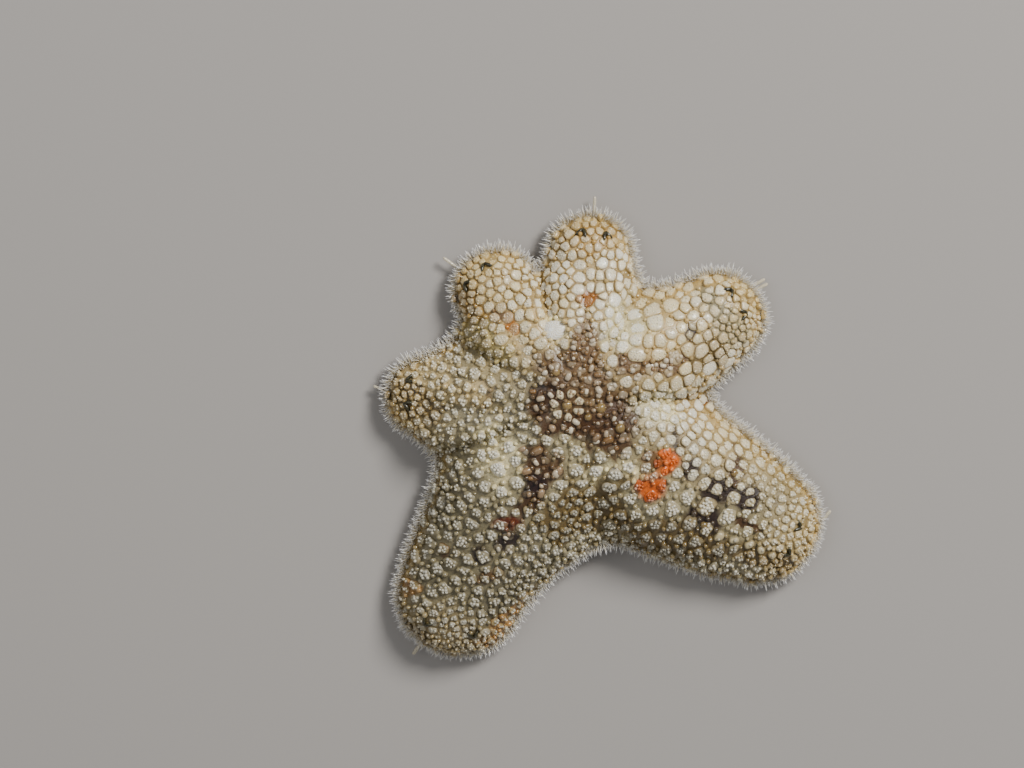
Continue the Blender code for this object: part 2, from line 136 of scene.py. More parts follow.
# The plates of the upper side: each fills its share of the skin, less a groove, and bears a crown of beads
PLATE_PITCH = 0.66
ROW_SPACING = 0.87
PLATE_ROOM, FILL_ROOM = 0.76, 0.80
PLATE_EDGE_ROOM = 0.30
TIP_CROWDING = 0.70
PLATE_VARIATION = 0.15
PLATE_RISE = 0.115
PLATE_SHIFT = 0.07
PLATE_SIDES = 14
GROOVE = 0.042
CORNERS = 11.0
# Rings of a plate from its root to its top: shares of its radius, of its rise and of the skin's colour, which
# at the rim is partly the real colour at the root and partly painted shade
PLATE_RINGS = (
    (1.0, -0.8, 1.0), (1.0, 0.1, 0.9), (0.93, 0.52, 0.6), (0.76, 0.84, 0.24), (0.42, 0.97, 0.03),
    (0.0, 1.0, 0.0),
)
# The beads on a plate stand in a spiral, each turned on from the last by this angle in radians
BEAD_PITCH, BEAD_TURN = 0.165, 2.39996
FILL = 99
# Room kept free of plates at the tips' dark notches and in the middle of the disc's ring
NOTCH_ROOM, MIDDLE_ROOM = 0.34, 0.45

# The rows of brushes of fine spines round the edge: share of the way down from the crest, degrees above
# level, size, and how much of the skin's colour they keep
BRUSH_PITCH = 0.44
BRUSH_ROWS = (
    (1.0, 2.0, 1.0, 0.1), (0.975, 22.0, 0.96, 0.15), (0.94, 40.0, 0.74, 0.3), (0.90, 60.0, 0.5, 0.5),
)

SIEVE_PIXEL = (557, 330)
SIEVE_RADIUS, SIEVE_RISE, SIEVE_RINGS, SIEVE_SIDES = 0.5, 0.17, 14, 96
SIEVE_GROOVES, SIEVE_GROOVE_DEPTH = 16.0, 0.022
# The two strokes of a dark V mark at an arm's tip: length, turn from its middle, lift and start
STROKE, STROKE_TURN, STROKE_LIFT, STROKE_START = 0.54, 28.0, 0.10, 0.22
SEED = 23


def linear(red, green, blue):
    """A colour as seen on a screen, 0 to 255, as the light it stands for."""
    return np.array([(channel / 255.0) ** 2.2 for channel in (red, green, blue)])


# The colours of the animal
CREAM = linear(230, 213, 168)
WHITE = linear(246, 241, 222)
STRAW = linear(208, 180, 116)
TAN = linear(178, 150, 98)
PEBBLE = linear(210, 198, 174)
GOLDEN = linear(152, 120, 62)
OLIVE = linear(140, 130, 100)
SAGE = linear(158, 142, 92)
SAND = linear(182, 162, 116)
MOSS = linear(100, 82, 46)
PALE = linear(216, 203, 156)
UMBER = linear(72, 48, 26)
BARK = linear(106, 80, 50)
ORANGE = linear(213, 100, 0)
DEEP_ORANGE = linear(186, 85, 0)
AMBER = linear(154, 92, 0)
GOLD = linear(184, 138, 78)
RUST = linear(104, 42, 6)
PLUM = linear(40, 24, 24)


# The marks on the upper side: pixel of the middle, half length and half width, turn in degrees, colour of the
# skin, colour of the plates, and how much of that colour the plates take
MARKS = {
    "white_upper": ((618, 328), 1.25, 1.15, 0.0, PALE, WHITE, 0.8),
    "white_sieve": ((557, 331), 0.8, 0.75, 0.0, PALE, WHITE, 0.7),
    "white_right": ((656, 408), 1.35, 0.85, 10.0, PALE, WHITE, 0.7),
    "white_left": ((500, 460), 1.1, 1.5, 20.0, PALE, WHITE, 0.6),
    "white_middle": ((612, 478), 1.6, 0.8, 15.0, PALE, WHITE, 0.5),
    # Painted shade: flank_shade on the lower flank of the lower right arm, between_shade on the skin between
    # the lower arms
    "flank_shade": ((676, 541), 3.4, 1.2, -14.0, MOSS, MOSS, 0.55),
    "between_shade": ((585, 508), 2.4, 1.5, 30.0, MOSS, MOSS, 0.2),
    "disc_shade": ((583, 393), 2.35, 2.1, 0.0, BARK, BARK, 0.8),
    "disc_top": ((585, 340), 0.75, 1.0, 0.0, BARK, BARK, 0.6),
    "disc_right": ((645, 367), 1.75, 0.55, -6.0, BARK, BARK, 0.6),
    "disc_core": ((545, 405), 0.85, 1.35, 0.0, UMBER, UMBER, 0.8),
    "disc_lower_right": ((615, 428), 1.2, 1.4, 0.0, UMBER, UMBER, 0.75),
    "disc_bottom": ((577, 428), 1.6, 0.6, 0.0, UMBER, UMBER, 0.6),
    "below_disc": ((541, 470), 1.0, 1.2, 10.0, UMBER, UMBER, 0.7),
    "below_core": ((533, 488), 0.7, 0.6, 0.0, PLUM, UMBER, 0.8),
    "lower_left_root": ((524, 508), 0.75, 0.45, 20.0, UMBER, STRAW, 0.3),
    "lower_left_rust": ((510, 522), 0.66, 0.45, 25.0, RUST, RUST, 0.5),
    "lower_left_dark": ((508, 540), 0.6, 0.5, 0.0, PLUM, UMBER, 0.6),
    "lower_left_dots": ((480, 557), 0.35, 0.5, 20.0, PLUM, CREAM, 0.2),
    "lower_left_bark": ((486, 578), 0.6, 0.35, 20.0, BARK, STRAW, 0.3),
    "lower_left_spot": ((444, 552), 0.25, 0.35, 0.0, BARK, STRAW, 0.3),
    "lower_left_gold": ((503, 624), 1.3, 0.7, 55.0, GOLD, STRAW, 0.75),
    "lower_left_side": ((410, 587), 0.5, 0.4, 0.0, GOLD, STRAW, 0.75),
    "lower_left_toe": ((412, 632), 1.0, 0.6, -30.0, MOSS, TAN, 0.5),
    "orange_upper": ((668, 462), 0.62, 0.62, 0.0, ORANGE, ORANGE, 0.97),
    "orange_lower": ((650, 488), 0.78, 0.62, 0.0, DEEP_ORANGE, DEEP_ORANGE, 0.97),
    "orange_side": ((651, 461), 0.45, 0.45, 0.0, BARK, RUST, 0.5),
    "orange_line": ((675, 441), 0.22, 0.6, 10.0, PLUM, STRAW, 0.4),
    "lower_right_ring": ((689, 472), 0.48, 0.52, 0.0, PLUM, WHITE, 0.1),
    "lower_right_net": ((714, 491), 1.0, 0.7, -10.0, PLUM, STRAW, 0.2),
    "lower_right_top": ((735, 466), 0.38, 0.85, 0.0, UMBER, CREAM, 0.1),
    "lower_right_dots": ((747, 497), 0.7, 0.55, 0.0, PLUM, STRAW, 0.1),
    "lower_right_low": ((708, 519), 0.85, 0.85, -20.0, PLUM, STRAW, 0.25),
    "lower_right_line": ((746, 524), 0.65, 0.25, -20.0, UMBER, STRAW, 0.2),
    # Partly the toe's own tan, partly painted shade that also darkens its beads
    "lower_right_toe": ((772, 560), 1.5, 0.8, -15.0, MOSS, TAN, 0.7),
    "middle_line": ((594, 463), 0.75, 0.16, 20.0, MOSS, STRAW, 0.2),
    "upper_right_plum": ((692, 332), 0.38, 0.36, 0.0, PLUM, PLUM, 0.45),
    "upper_right_line": ((685, 357), 0.25, 0.7, -25.0, BARK, STRAW, 0.4),
    # Painted shade on the lower side of the upper right arm
    "upper_right_olive": ((714, 346), 1.6, 0.7, 39.0, MOSS, TAN, 0.6),
    "upper_right_moss": ((725, 325), 1.7, 0.7, -55.0, OLIVE, STRAW, 0.35),
    "top_amber": ((588, 296), 0.5, 0.34, 10.0, AMBER, AMBER, 0.9),
    "top_tan": ((595, 240), 1.3, 0.7, 0.0, GOLDEN, TAN, 0.4),
    "upper_left_amber": ((510, 325), 0.30, 0.38, 0.0, AMBER, AMBER, 0.85),
    "upper_left_tan": ((499, 316), 0.5, 0.35, 0.0, BARK, AMBER, 0.3),
    "upper_left_side": ((470, 305), 0.9, 1.5, 20.0, GOLDEN, TAN, 0.5),
    "upper_left_flank": ((487, 345), 1.7, 0.9, -30.0, SAGE, SAND, 0.5),
    "left_tan": ((474, 393), 1.1, 0.6, -8.0, BARK, STRAW, 0.45),
    "left_pale": ((443, 383), 2.3, 0.8, -14.0, SAND, CREAM, 0.6),
    "left_toe": ((415, 403), 1.4, 1.0, 0.0, MOSS, TAN, 0.55),
    "tiny_amber": ((706, 403), 0.14, 0.14, 0.0, AMBER, AMBER, 0.6),
}
DARK_MARKS = (
    "disc_shade", "disc_top", "disc_right", "disc_core", "disc_lower_right", "disc_bottom", "below_disc",
    "below_core", "lower_left_dark",
)
VIVID_MARKS = ("orange_upper", "orange_lower", "upper_left_amber", "top_amber")
# Marks of painted shade, which darken the beads as well
PAINTED_SHADE_MARKS = ("flank_shade", "between_shade", "lower_right_toe")
# Areas where the plates are broader: pixel of the middle, half length and half width, turn, how much broader
BROAD_AREAS = (
    ((622, 326), 1.9, 1.5, 0.0, 0.22), ((660, 405), 1.8, 1.1, 0.0, 0.22), ((665, 515), 4.6, 2.3, -15.0, 0.42),
    ((595, 460), 2.0, 1.5, 30.0, 0.3), ((498, 462), 1.6, 2.2, 20.0, 0.36), ((463, 560), 3.8, 2.3, 65.0, 0.26),
)
# The pair of dark pigment notches at each arm's tip: pixel and the way its point faces, in degrees
TIP_NOTCHES = (
    ((410, 380), 200.0), ((408, 404), 160.0), ((486, 267), 120.0), ((468, 285), 160.0),
    ((582, 233), 80.0), ((606, 236), 100.0), ((729, 292), 45.0), ((743, 314), 10.0),
    ((798, 526), -20.0), ((787, 552), -50.0), ((427, 622), 230.0), ((473, 634), 280.0),
)
# Thin clear feelers past the arms' tips: pixel of the root, pixel of the end, and the arm's place in the list
FEELERS = (
    ((744, 297), (766, 284), 0), ((746, 301), (769, 289), 0), ((594, 222), (595, 199), 1),
    ((815, 532), (831, 511), 5), ((428, 640), (412, 663), 4), ((441, 642), (435, 666), 4),
    ((462, 272), (443, 258), 2), ((392, 397), (373, 389), 3),
)
# Broad tan gill bulbs: pixel and radius
BLISTERS = (
    ((567, 405), 0.26), ((620, 428), 0.25), ((704, 525), 0.2), ((734, 473), 0.2), ((601, 408), 0.28),
    ((666, 447), 0.16), ((588, 417), 0.2), ((643, 477), 0.18), ((556, 372), 0.2), ((520, 470), 0.2),
)
# Round swollen plates along the lower flank of one arm
BULB_PIXELS = ((719, 535), (734, 539), (749, 544), (761, 549), (772, 554))
BULB_SIZE = 0.92
# The ring of broad plates round the tan middle of the disc
RING_PIXEL, RING_RADIUS, RING_COUNT, RING_SIZE = (567, 405), 0.66, 7, 0.86


def polar(degrees, radius=1.0):
    angle = math.radians(degrees)
    return np.array([math.cos(angle), math.sin(angle)]) * radius


def ease(value):
    """0 to 1 with level ends."""
    value = np.clip(value, 0.0, 1.0)
    return value * value * (3.0 - 2.0 * value)


def bezier(points, t):
    """A curve of any degree through its first and last control points."""
    rows = [np.asarray(p, float)[None, :] + 0.0 * t[:, None] for p in points]
    while len(rows) > 1:
        rows = [a + (b - a) * t[:, None] for a, b in zip(rows, rows[1:])]
    return rows[0]


def unit(vectors):
    """The vectors at a length of one."""
    return vectors / (np.linalg.norm(vectors, axis=-1, keepdims=True) + 1e-12)


def nearest(points, at):
    """Distance from a place to the nearest of the points."""
    return np.min(np.linalg.norm(points - at, axis=1), initial=np.inf)


def blend(first, second, share):
    """From the first to the second by a share, or by a share for each row."""
    return first + (second - first) * (share[:, None] if np.ndim(share) == 1 else share)


def travelled(line):
    """The length of a line of points up to each of them."""
    return np.concatenate(([0.0], np.cumsum(np.linalg.norm(np.diff(line, axis=0), axis=1))))


def sample(along, length, line):
    """Each column of a line, read off at a length along it."""
    return np.array([np.interp(along, length, column) for column in line.T])


def under_section(steps):
    """Steps along the underside's section, with the share of the width and the level at each."""
    fine = np.linspace(0.0, len(SECTION) - 1.0, steps)[1:]
    return fine, *sample(fine, np.arange(len(SECTION)), SECTION)


class HalfArm:
    """One side of an arm, from the notch to the tip: a line on the arm's crest and one on its outline."""

    def __init__(self, index, side):
        name, degrees, reach, tip_radius, tip_height, bend, taper, root_round, tip_round = ARMS[index]
        notch_degrees, notch_radius, self.lift = NOTCHES[index - 1 if side < 0 else index]
        self.name, self.side = name, side
        self.cell = 2 * index + (side > 0)
        self.tip_radius, self.tip_height = tip_radius, tip_height
        self.tip_centre = polar(degrees, reach - tip_radius)
        self.control = self.tip_centre / 2.0 + polar(degrees + 90.0, 1.0) * bend
        self.along = self.tip_centre - self.control
        self.along /= np.linalg.norm(self.along)
        self.outward = np.array([-self.along[1], self.along[0]]) * side
        self.notch = polar(notch_degrees, notch_radius)
        self.taper = math.radians(taper)
        lean = np.array([math.cos(self.taper), math.sin(self.taper)])
        shoulder = self.tip_centre + (self.outward * lean[0] + self.along * lean[1]) * tip_radius
        span = np.linalg.norm(shoulder - self.notch)
        leave = polar(notch_degrees - 90.0 * side, root_round * span)
        arrive = (self.along * lean[0] - self.outward * lean[1]) * tip_round * span
        self.outline = (self.notch, self.notch + leave, shoulder - arrive, shoulder)

    def lines(self, u):
        """Crest point, outline point, height of the crest and of the edge, and valley share, at u from 0 to
        2. The arm's side is from 0 to 1 and the tip's arc from 1 to 2."""
        t = np.clip(u, 0.0, 1.0)
        edge = bezier(self.outline, t)
        turn = ease(t / TURN)
        share = 1.0 - (1.0 - t) ** CREST_LEAD
        crest = bezier((np.zeros(2), self.control, self.tip_centre), share)
        angle = self.taper + np.clip(u - 1.0, 0.0, 1.0) * (math.pi / 2.0 - self.taper)
        arc = np.cos(angle)[:, None] * self.outward + np.sin(angle)[:, None] * self.along
        edge = np.where((u > 1.0)[:, None], self.tip_centre + arc * self.tip_radius, edge)
        height = self.tip_height + (DISC_HEIGHT - self.tip_height) * (1.0 - share**1.8)
        lift = self.lift * np.clip(1.0 - t / 0.8, 0.0, 1.0) ** 2
        return crest, edge, height, EDGE_HEIGHT + lift, 1.0 - turn

    def top(self, u, v):
        """Points of the upper side: v is 0 on the crest and 1 on the outline. Shape (len(u), len(v), 3)."""
        crest, edge, height, low, valley = (a[:, None] for a in self.lines(u))
        wide = CREST[0] + (VALLEY[0] - CREST[0]) * valley
        tall = CREST[1] + (VALLEY[1] - CREST[1]) * valley
        angle = v[None, :] * math.pi / 2.0
        out = np.sin(angle) ** (2.0 / wide)
        rise = np.maximum(np.cos(angle), 0.0) ** (2.0 / tall)
        flat = crest + (edge - crest) * out[:, :, None]
        return np.dstack((flat, low + (height - low) * rise))

    def bottom(self, u, steps):
        """Points of the oral side, in a smooth section from the outline to the furrow's middle."""
        crest, edge, height, low, _ = self.lines(u)
        lift = (low - EDGE_HEIGHT)[:, None]
        depth = np.minimum(height / FURROW_HEIGHT, 1.0)[:, None]
        fine, share, level = under_section(steps)
        roof = np.interp(fine, (len(UNDERSIDE), len(SECTION) - 2.0), (0.0, 1.0))
        rise = level[None, :] * (1.0 + (depth - 1.0) * roof) + lift * share * (1.0 - roof)
        flat = crest[:, None] + (edge - crest)[:, None] * share[None, :, None]
        return np.dstack((flat, rise))


# The way towards the upper right, along which plates grow close set and paler and the painted shade fades out
PALE_AND_LIT_WAY = polar(63.0)
HALVES = [HalfArm(index, side) for index in range(len(ARMS)) for side in (-1, 1)]
REGIONS = [arm[0] for arm in ARMS]


def nearest_half(at):
    """A side of the arm whose tip is nearest."""
    return min(HALVES, key=lambda half: np.linalg.norm(half.tip_centre - at[:2]))


def placed(points):
    """Points measured from the disc's centre, in millimetres, as scene positions."""
    points = np.array(points, float)
    points[..., :2] += CENTRE
    return points * MM


def flat_place(cell, u, v, below=0.0):
    """A place on the skin's unwrap, where each side of an arm has a cell for its top and one below."""
    column, row = cell % 6, cell // 6 + 2 * below
    return np.stack(((column + 0.04 + 0.46 * u) / 6.0, (row + 0.04 + 0.92 * v) / 4.0), axis=-1)


def mottle(points, size, seed):
    """A smooth random value from about -1 to 1 that changes over the given distance."""
    draw = np.random.default_rng(seed)
    total = np.zeros(len(points))
    for _ in range(14):
        way = draw.normal(size=3)
        way *= draw.uniform(0.6, 1.4) / (size * np.linalg.norm(way))
        total += np.sin(points @ way * 2.0 + draw.uniform(0.0, 6.3))
    return total / 3.2


def add_object(name, data, kit=None):
    """A new object, in the scene or in a kit of pieces."""
    made = bpy.data.objects.new(name, data)
    (kit or bpy.context.scene.collection).objects.link(made)
    return made


# Camera, floor and light


def make_camera():
    tilt = math.radians(CAMERA_TILT)
    aside = (PICTURE[0] / 2 - DISC_PIXEL[0]) * PIXEL
    ahead = (DISC_PIXEL[1] - PICTURE[1] / 2) * PIXEL / math.cos(tilt)
    aim = placed((aside, ahead, EDGE_HEIGHT))
    data = bpy.data.cameras.new("camera")
    camera = add_object("camera", data)
    back = np.array((0.0, math.sin(tilt), math.cos(tilt)))
    camera.location = aim + back * CAMERA_DISTANCE * MM
    camera.rotation_euler = (-tilt, 0.0, 0.0)
    data.lens = data.sensor_width * CAMERA_DISTANCE / (PICTURE[0] * PIXEL)
    data.clip_start, data.clip_end = 0.01, 10.0
    bpy.context.scene.camera = camera
    return camera


def make_floor():
    bpy.ops.mesh.primitive_plane_add(size=2.0)
    floor = bpy.context.object
    floor.name = "floor"
    look = bpy.data.materials.new("floor")
    look.use_nodes = True
    shader = look.node_tree.nodes["Principled BSDF"]
    shader.inputs["Base Color"].default_value = (0.36, 0.34, 0.32, 1.0)
    shader.inputs["Roughness"].default_value = 0.85
    floor.data.materials.append(look)
    floor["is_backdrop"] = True


def area_light(name, place, size, watts, colour=(1.0, 1.0, 1.0)):
    """A soft light over the star that faces its middle."""
    data = bpy.data.lights.new(name, "AREA")
    data.shape, data.size, data.energy, data.color = "DISK", size, watts, colour
    light = add_object(name, data)
    light.location = place
    light.rotation_euler = Vector(place).to_track_quat("Z", "Y").to_euler()


def make_light():
    area_light("key", (0.13, 0.17, 0.19), 0.09, 1.06, (1.0, 0.98, 0.95))
    area_light("fill", (-0.16, 0.10, 0.26), 0.24, 0.20, (0.97, 0.98, 1.0))
    area_light("low", (0.02, -0.26, 0.16), 0.20, 0.05, (1.0, 0.97, 0.93))
    world = bpy.data.worlds.new("world")
    world.use_nodes = True
    world.node_tree.nodes["Background"].inputs["Color"].default_value = (0.97, 0.98, 1.0, 1.0)
    world.node_tree.nodes["Background"].inputs["Strength"].default_value = 0.24
    bpy.context.scene.world = world


# Materials


def add_node(tree, kind, output, inputs=None, **settings):
    """Adds a node, sets or joins its inputs, and gives one of its outputs."""
    made = tree.nodes.new(kind)
    for key, value in settings.items():
        setattr(made, key, value)
    for key, value in (inputs or {}).items():
        if isinstance(value, bpy.types.NodeSocket):
            tree.links.new(value, made.inputs[key])
        else:
            made.inputs[key].default_value = value
    return made.outputs[output]


class Look:
    """A material round one shader: its roughness, its wet coat's weight and roughness, and the glow of light
    under its surface, as weight, reach of each colour and scale in millimetres."""

    def __init__(self, name, roughness, coat, glow=(0.0, (1.0, 0.2, 0.1), 50.0), **others):
        self.material = bpy.data.materials.new(name)
        self.material.use_nodes = True
        self.tree = self.material.node_tree
        self.shader = self.tree.nodes["Principled BSDF"].inputs
        values = {
            "Roughness": roughness, "Coat Weight": coat[0], "Coat Roughness": coat[1],
            "Subsurface Weight": glow[0], "Subsurface Radius": glow[1], "Subsurface Scale": glow[2] * MM,
        }
        for socket, value in {**values, **others}.items():
            self.shader[socket.replace("_", " ")].default_value = value

    def join(self, source, socket):
        self.tree.links.new(source, self.shader[socket])

    def attribute(self, name, output="Fac"):
        return add_node(self.tree, "ShaderNodeAttribute", output, attribute_name=name)

    def pattern(self, kind, output, size, **more):
        """A pattern on the piece's own place, with features of about the given size in millimetres."""
        where = add_node(self.tree, "ShaderNodeTexCoord", "Object")
        return add_node(self.tree, kind, output, {"Vector": where, "Scale": 1.0 / (size * MM), **more})

    def noise(self, size, detail=3.0):
        return self.pattern("ShaderNodeTexNoise", "Fac", size, Detail=detail, Roughness=0.6)

    def cells(self, size):
        return self.pattern("ShaderNodeTexVoronoi", "Distance", size)

    def ramp(self, source, low, high, start=0.3, end=0.7):
        """Low to high, as the source goes from start to end."""
        inputs = {"Value": source, "From Min": start, "From Max": end, "To Min": low, "To Max": high}
        return add_node(self.tree, "ShaderNodeMapRange", "Result", inputs)

    def mix(self, factor, first, second, blend_type="MIX"):
        """Two colours mixed, each a socket or a colour, by a socket or a number."""
        inputs = {0: factor}
        for key, value in ((6, first), (7, second)):
            inputs[key] = value if isinstance(value, bpy.types.NodeSocket) else (*value, 1.0)
        return add_node(self.tree, "ShaderNodeMix", 2, inputs, data_type="RGBA", blend_type=blend_type)

    def grained(self, colour, size, dark, light):
        """A colour made darker and lighter by noise."""
        return self.mix(1.0, colour, self.ramp(self.noise(size), dark, light), "MULTIPLY")

    def finish(self, colour, relief, depth, strength):
        """Sets the colour and a relief of the given depth in millimetres."""
        self.join(colour, "Base Color")
        inputs = {"Strength": strength, "Distance": depth * MM, "Height": relief}
        self.join(add_node(self.tree, "ShaderNodeBump", "Normal", inputs), "Normal")
        return self.material


def skin_look():
    """Thin wet skin: mottled, finely grained, with darker specks of pigment."""
    look = Look("moist_skin", 0.36, (0.2, 0.16), (0.18, (0.42, 0.34, 0.2), 0.4))
    shaded = look.grained(look.grained(look.attribute("tint", "Color"), 0.45, 0.72, 1.22), 0.07, 0.8, 1.15)
    specks = look.ramp(look.cells(0.22), 0.45, 0.0, 0.08, 0.3)
    look.join(look.ramp(look.noise(0.2), 0.26, 0.48), "Roughness")
    return look.finish(look.mix(specks, shaded, UMBER), look.noise(0.12, 4.0), 0.05, 0.8)


def plate_look():
    """Chalky plate under a wet film, its own colour on top and the skin's at the root, partly painted shade
    on its sides.
    """
    look = Look("plates", 0.34, (0.4, 0.16), (0.35, (0.5, 0.4, 0.24), 0.25))
    look.join(look.ramp(look.noise(0.1), 0.22, 0.46), "Roughness")
    colour = look.grained(look.attribute("tint", "Color"), 0.06, 0.84, 1.12)
    return look.finish(colour, look.noise(0.05, 2.0), 0.014, 0.7)


def bead_look():
    """Glassy beads, whiter towards their tops."""
    look = Look("beads", 0.28, (0.35, 0.12), (0.4, (0.5, 0.45, 0.35), 0.15))
    tint = look.attribute("tint", "Color")
    foot = look.mix(1.0, tint, (0.72, 0.64, 0.5), "MULTIPLY")
    body = look.mix(look.ramp(look.attribute("crown"), 0.0, 1.0, 0.0, 0.6), foot, tint)
    return look.finish(look.grained(body, 0.04, 0.88, 1.1), look.noise(0.03, 2.0), 0.006, 0.5)


def spine_look():
    """Milky, slightly clear spines, clearest at the ends."""
    look = Look("glassy_spines", 0.2, (0.3, 0.08), (0.5, (0.5, 0.5, 0.45), 0.2), Transmission_Weight=0.12)
    end = look.ramp(look.attribute("crown"), 0.0, 1.0, 0.45, 0.95)
    clear = look.mix(end, look.attribute("tint", "Color"), linear(246, 246, 244))
    return look.finish(look.grained(clear, 0.06, 0.9, 1.06), look.noise(0.03, 2.0), 0.004, 0.5)


def gill_look():
    """Soft clear bulbs of the skin's own tint."""
    look = Look("gill_bulbs", 0.15, (0.6, 0.06), (0.4, (0.4, 0.35, 0.2), 0.2))
    colour = look.grained(look.attribute("tint", "Color"), 0.09, 0.8, 1.2)
    return look.finish(colour, look.noise(0.08, 2.0), 0.01, 0.5)


def foot_look():
    """Clear tube feet with milky suckers."""
    look = Look("tube_feet", 0.22, (0.4, 0.1), IOR=1.37, Transmission_Weight=0.4)
    milky = look.mix(look.attribute("crown"), linear(198, 178, 132), linear(232, 222, 196))
    return look.finish(look.grained(milky, 0.08, 0.84, 1.1), look.noise(0.06, 2.0), 0.012, 0.6)


def chalk_look(name, colour, dark):
    """Bare chalky plate, finely pitted."""
    look = Look(name, 0.45, (0.3, 0.2), (0.2, (0.4, 0.3, 0.2), 0.2))
    body = look.mix(look.attribute("crown"), dark, colour)
    return look.finish(look.grained(body, 0.08, 0.8, 1.14), look.cells(0.06), 0.015, 0.7)


def pigment_look():
    """Dark green-black pigment at an arm's tip."""
    look = Look("tip_pigment", 0.3, (0.5, 0.1))
    clouds = look.ramp(look.noise(0.1), 0.0, 1.0, 0.35, 0.65)
    colour = look.mix(clouds, linear(26, 24, 18), linear(66, 62, 34))
    return look.finish(colour, look.noise(0.06, 2.0), 0.02, 0.7)


# Rings of vertices, and small pieces that are repeated, each made standing on the origin along +Z


def add_rings(bm, sections, sides, place):
    """Rings of vertices joined by smooth faces. place(section, angle, k) makes a vertex, and a section that
    starts with 0 is a single point, which closes the end."""
    rings = []
    for section in sections:
        count = sides if section[0] > 0.0 else 1
        rings.append([place(section, 2.0 * math.pi * k / sides, k) for k in range(count)])
    for low, high in zip(rings, rings[1:]):
        for k in range(sides):
            quad = ((low, k), (low, k + 1), (high, k + 1), (high, k))
            corners = dict.fromkeys(ring[n % len(ring)] for ring, n in quad)
            bm.faces.new(list(corners)).smooth = True


def turn_piece(bm, sections, sides, matrix=Matrix(), wobble=None):
    """Adds a turned piece: rings of (radius, height, crown), open below."""
    crown = bm.verts.layers.float.get("crown") or bm.verts.layers.float.new("crown")

    def place(section, angle, k):
        radius, height, share = section
        reach = radius * (wobble[k] if wobble else 1.0)
        vert = bm.verts.new(matrix @ Vector((math.cos(angle) * reach, math.sin(angle) * reach, height)))
        vert[crown] = share
        return vert

    add_rings(bm, sections, sides, place)
    return bm


def spinelet(bm, foot, lean, length, thickness, sides, blunt):
    """One spinelet from a foot point, leaning by (towards x, towards y), with a rounded end."""
    way = Vector((lean[0], lean[1], 1.0)).normalized()
    matrix = Matrix.Translation(foot) @ way.to_track_quat("Z", "Y").to_matrix().to_4x4()
    radius = thickness / 2.0
    middle, shoulder = (radius, length * 0.55, 0.6), (radius * blunt, length * 0.86, 0.9)
    turn_piece(bm, ((radius * 0.95, 0.0, 0.3), middle, shoulder, (0.0, length, 1.0)), sides, matrix)


def make_piece(name, bm, places=None, material=None, kit=None):
    """A piece from a bmesh, in the scene or in a kit, with each vertex's place on its map."""
    if places:
        flat = bm.loops.layers.uv.new("own_map" if kit else "OFBake")
        for face in bm.faces:
            for loop in face.loops:
                loop[flat].uv = places[loop.vert]
    mesh = bpy.data.meshes.new(name)
    bm.to_mesh(mesh)
    bm.free()
    if material:
        mesh.materials.append(material)
    return add_object(name, mesh, kit)


def make_kit(name, pieces):
    """A hidden collection of pieces, which the tree picks from in the order of their names, each with a flat
    map of its own, seen from above."""
    kit = bpy.data.collections.new(name)
    for piece_name, bm in pieces:
        bmesh.ops.recalc_face_normals(bm, faces=bm.faces)
        width = 2.0 * max(max(abs(vert.co.x), abs(vert.co.y)) for vert in bm.verts)
        places = {vert: (0.5 + vert.co.x / width, 0.5 + vert.co.y / width) for vert in bm.verts}
        make_piece(piece_name, bm, places, kit=kit)
    return kit


def bead_pieces():
    """Low grains, tall rounded beads, then long lumps, in units of their radius."""
    for name, *rings in (
        ("a_grain", (1.0, -0.5, 0.0), (0.96, 0.14, 0.3), (0.6, 0.5, 0.8), (0.0, 0.62, 1.0)),
        ("b_grain", (1.0, -0.5, 0.0), (0.94, 0.2, 0.3), (0.55, 0.6, 0.8), (0.0, 0.74, 1.0)),
        ("c_bead", (0.85, -0.5, 0.0), (1.0, 0.55, 0.4), (0.7, 1.15, 0.85), (0.0, 1.4, 1.0)),
        ("d_bead", (0.85, -0.5, 0.0), (0.96, 0.8, 0.4), (0.64, 1.45, 0.85), (0.0, 1.7, 1.0)),
    ):
        yield name, turn_piece(bmesh.new(), rings, 7)
    rings = ((0.9, -0.5, 0.0), (1.0, 0.2, 0.3), (0.82, 0.62, 0.7), (0.45, 0.86, 0.9), (0.0, 0.92, 1.0))
    for name, long, *wobble in (
        ("e_lump", 1.45, 1.0, 1.08, 0.9, 1.1, 0.94, 1.06, 0.9, 1.04),
        ("f_lump", 1.2, 0.9, 1.1, 1.0, 0.86, 1.12, 0.95, 1.05, 0.92),
    ):
        yield name, turn_piece(bmesh.new(), rings, 8, Matrix.Diagonal((long, 1.0, 1.0, 1.0)), wobble)


def brush_pieces():
    """Fans of fine spines for the edge, in millimetres."""
    draw = random.Random(SEED + 1)
    for k in range(4):
        bm = bmesh.new()
        for step in range(10):
            across = (step % 5 - 2.0 + draw.uniform(-0.35, 0.35)) / 2.0
            row = (-0.5, 0.5)[step // 5]
            lean = (across * 0.5, row * 0.4 + draw.uniform(-0.12, 0.12))
            length = 0.70 * draw.uniform(0.68, 1.12)
            foot = Vector((across * 0.17, row * 0.12, -0.08))
            spinelet(bm, foot, lean, length, 0.052 * draw.uniform(0.85, 1.2), 5, 0.55)
        yield f"brush_{k}", bm


def bulb_pieces():
    """Gill bulbs, then a broad low one, in units of their radius."""
    draw = random.Random(SEED + 2)
    for k in range(3):
        tall = 1.3 + 0.3 * k
        end = ((0.9, tall * 0.55, 0.6), (0.55, tall * 0.9, 0.9), (0.0, tall, 1.0))
        rings = ((0.8, -0.5, 0.0), (0.96, 0.2, 0.3)) + end
        wobble = [draw.uniform(0.92, 1.06) for _ in range(8)]
        yield f"bulb_{k}", turn_piece(bmesh.new(), rings, 8, wobble=wobble)
    end = ((0.6, 0.66, 0.8), (0.3, 0.76, 0.9), (0.0, 0.8, 1.0))
    rings = ((1.0, -0.4, 0.0), (1.0, 0.1, 0.2), (0.88, 0.42, 0.5)) + end
    yield "bulb_3_broad", turn_piece(bmesh.new(), rings, 14)


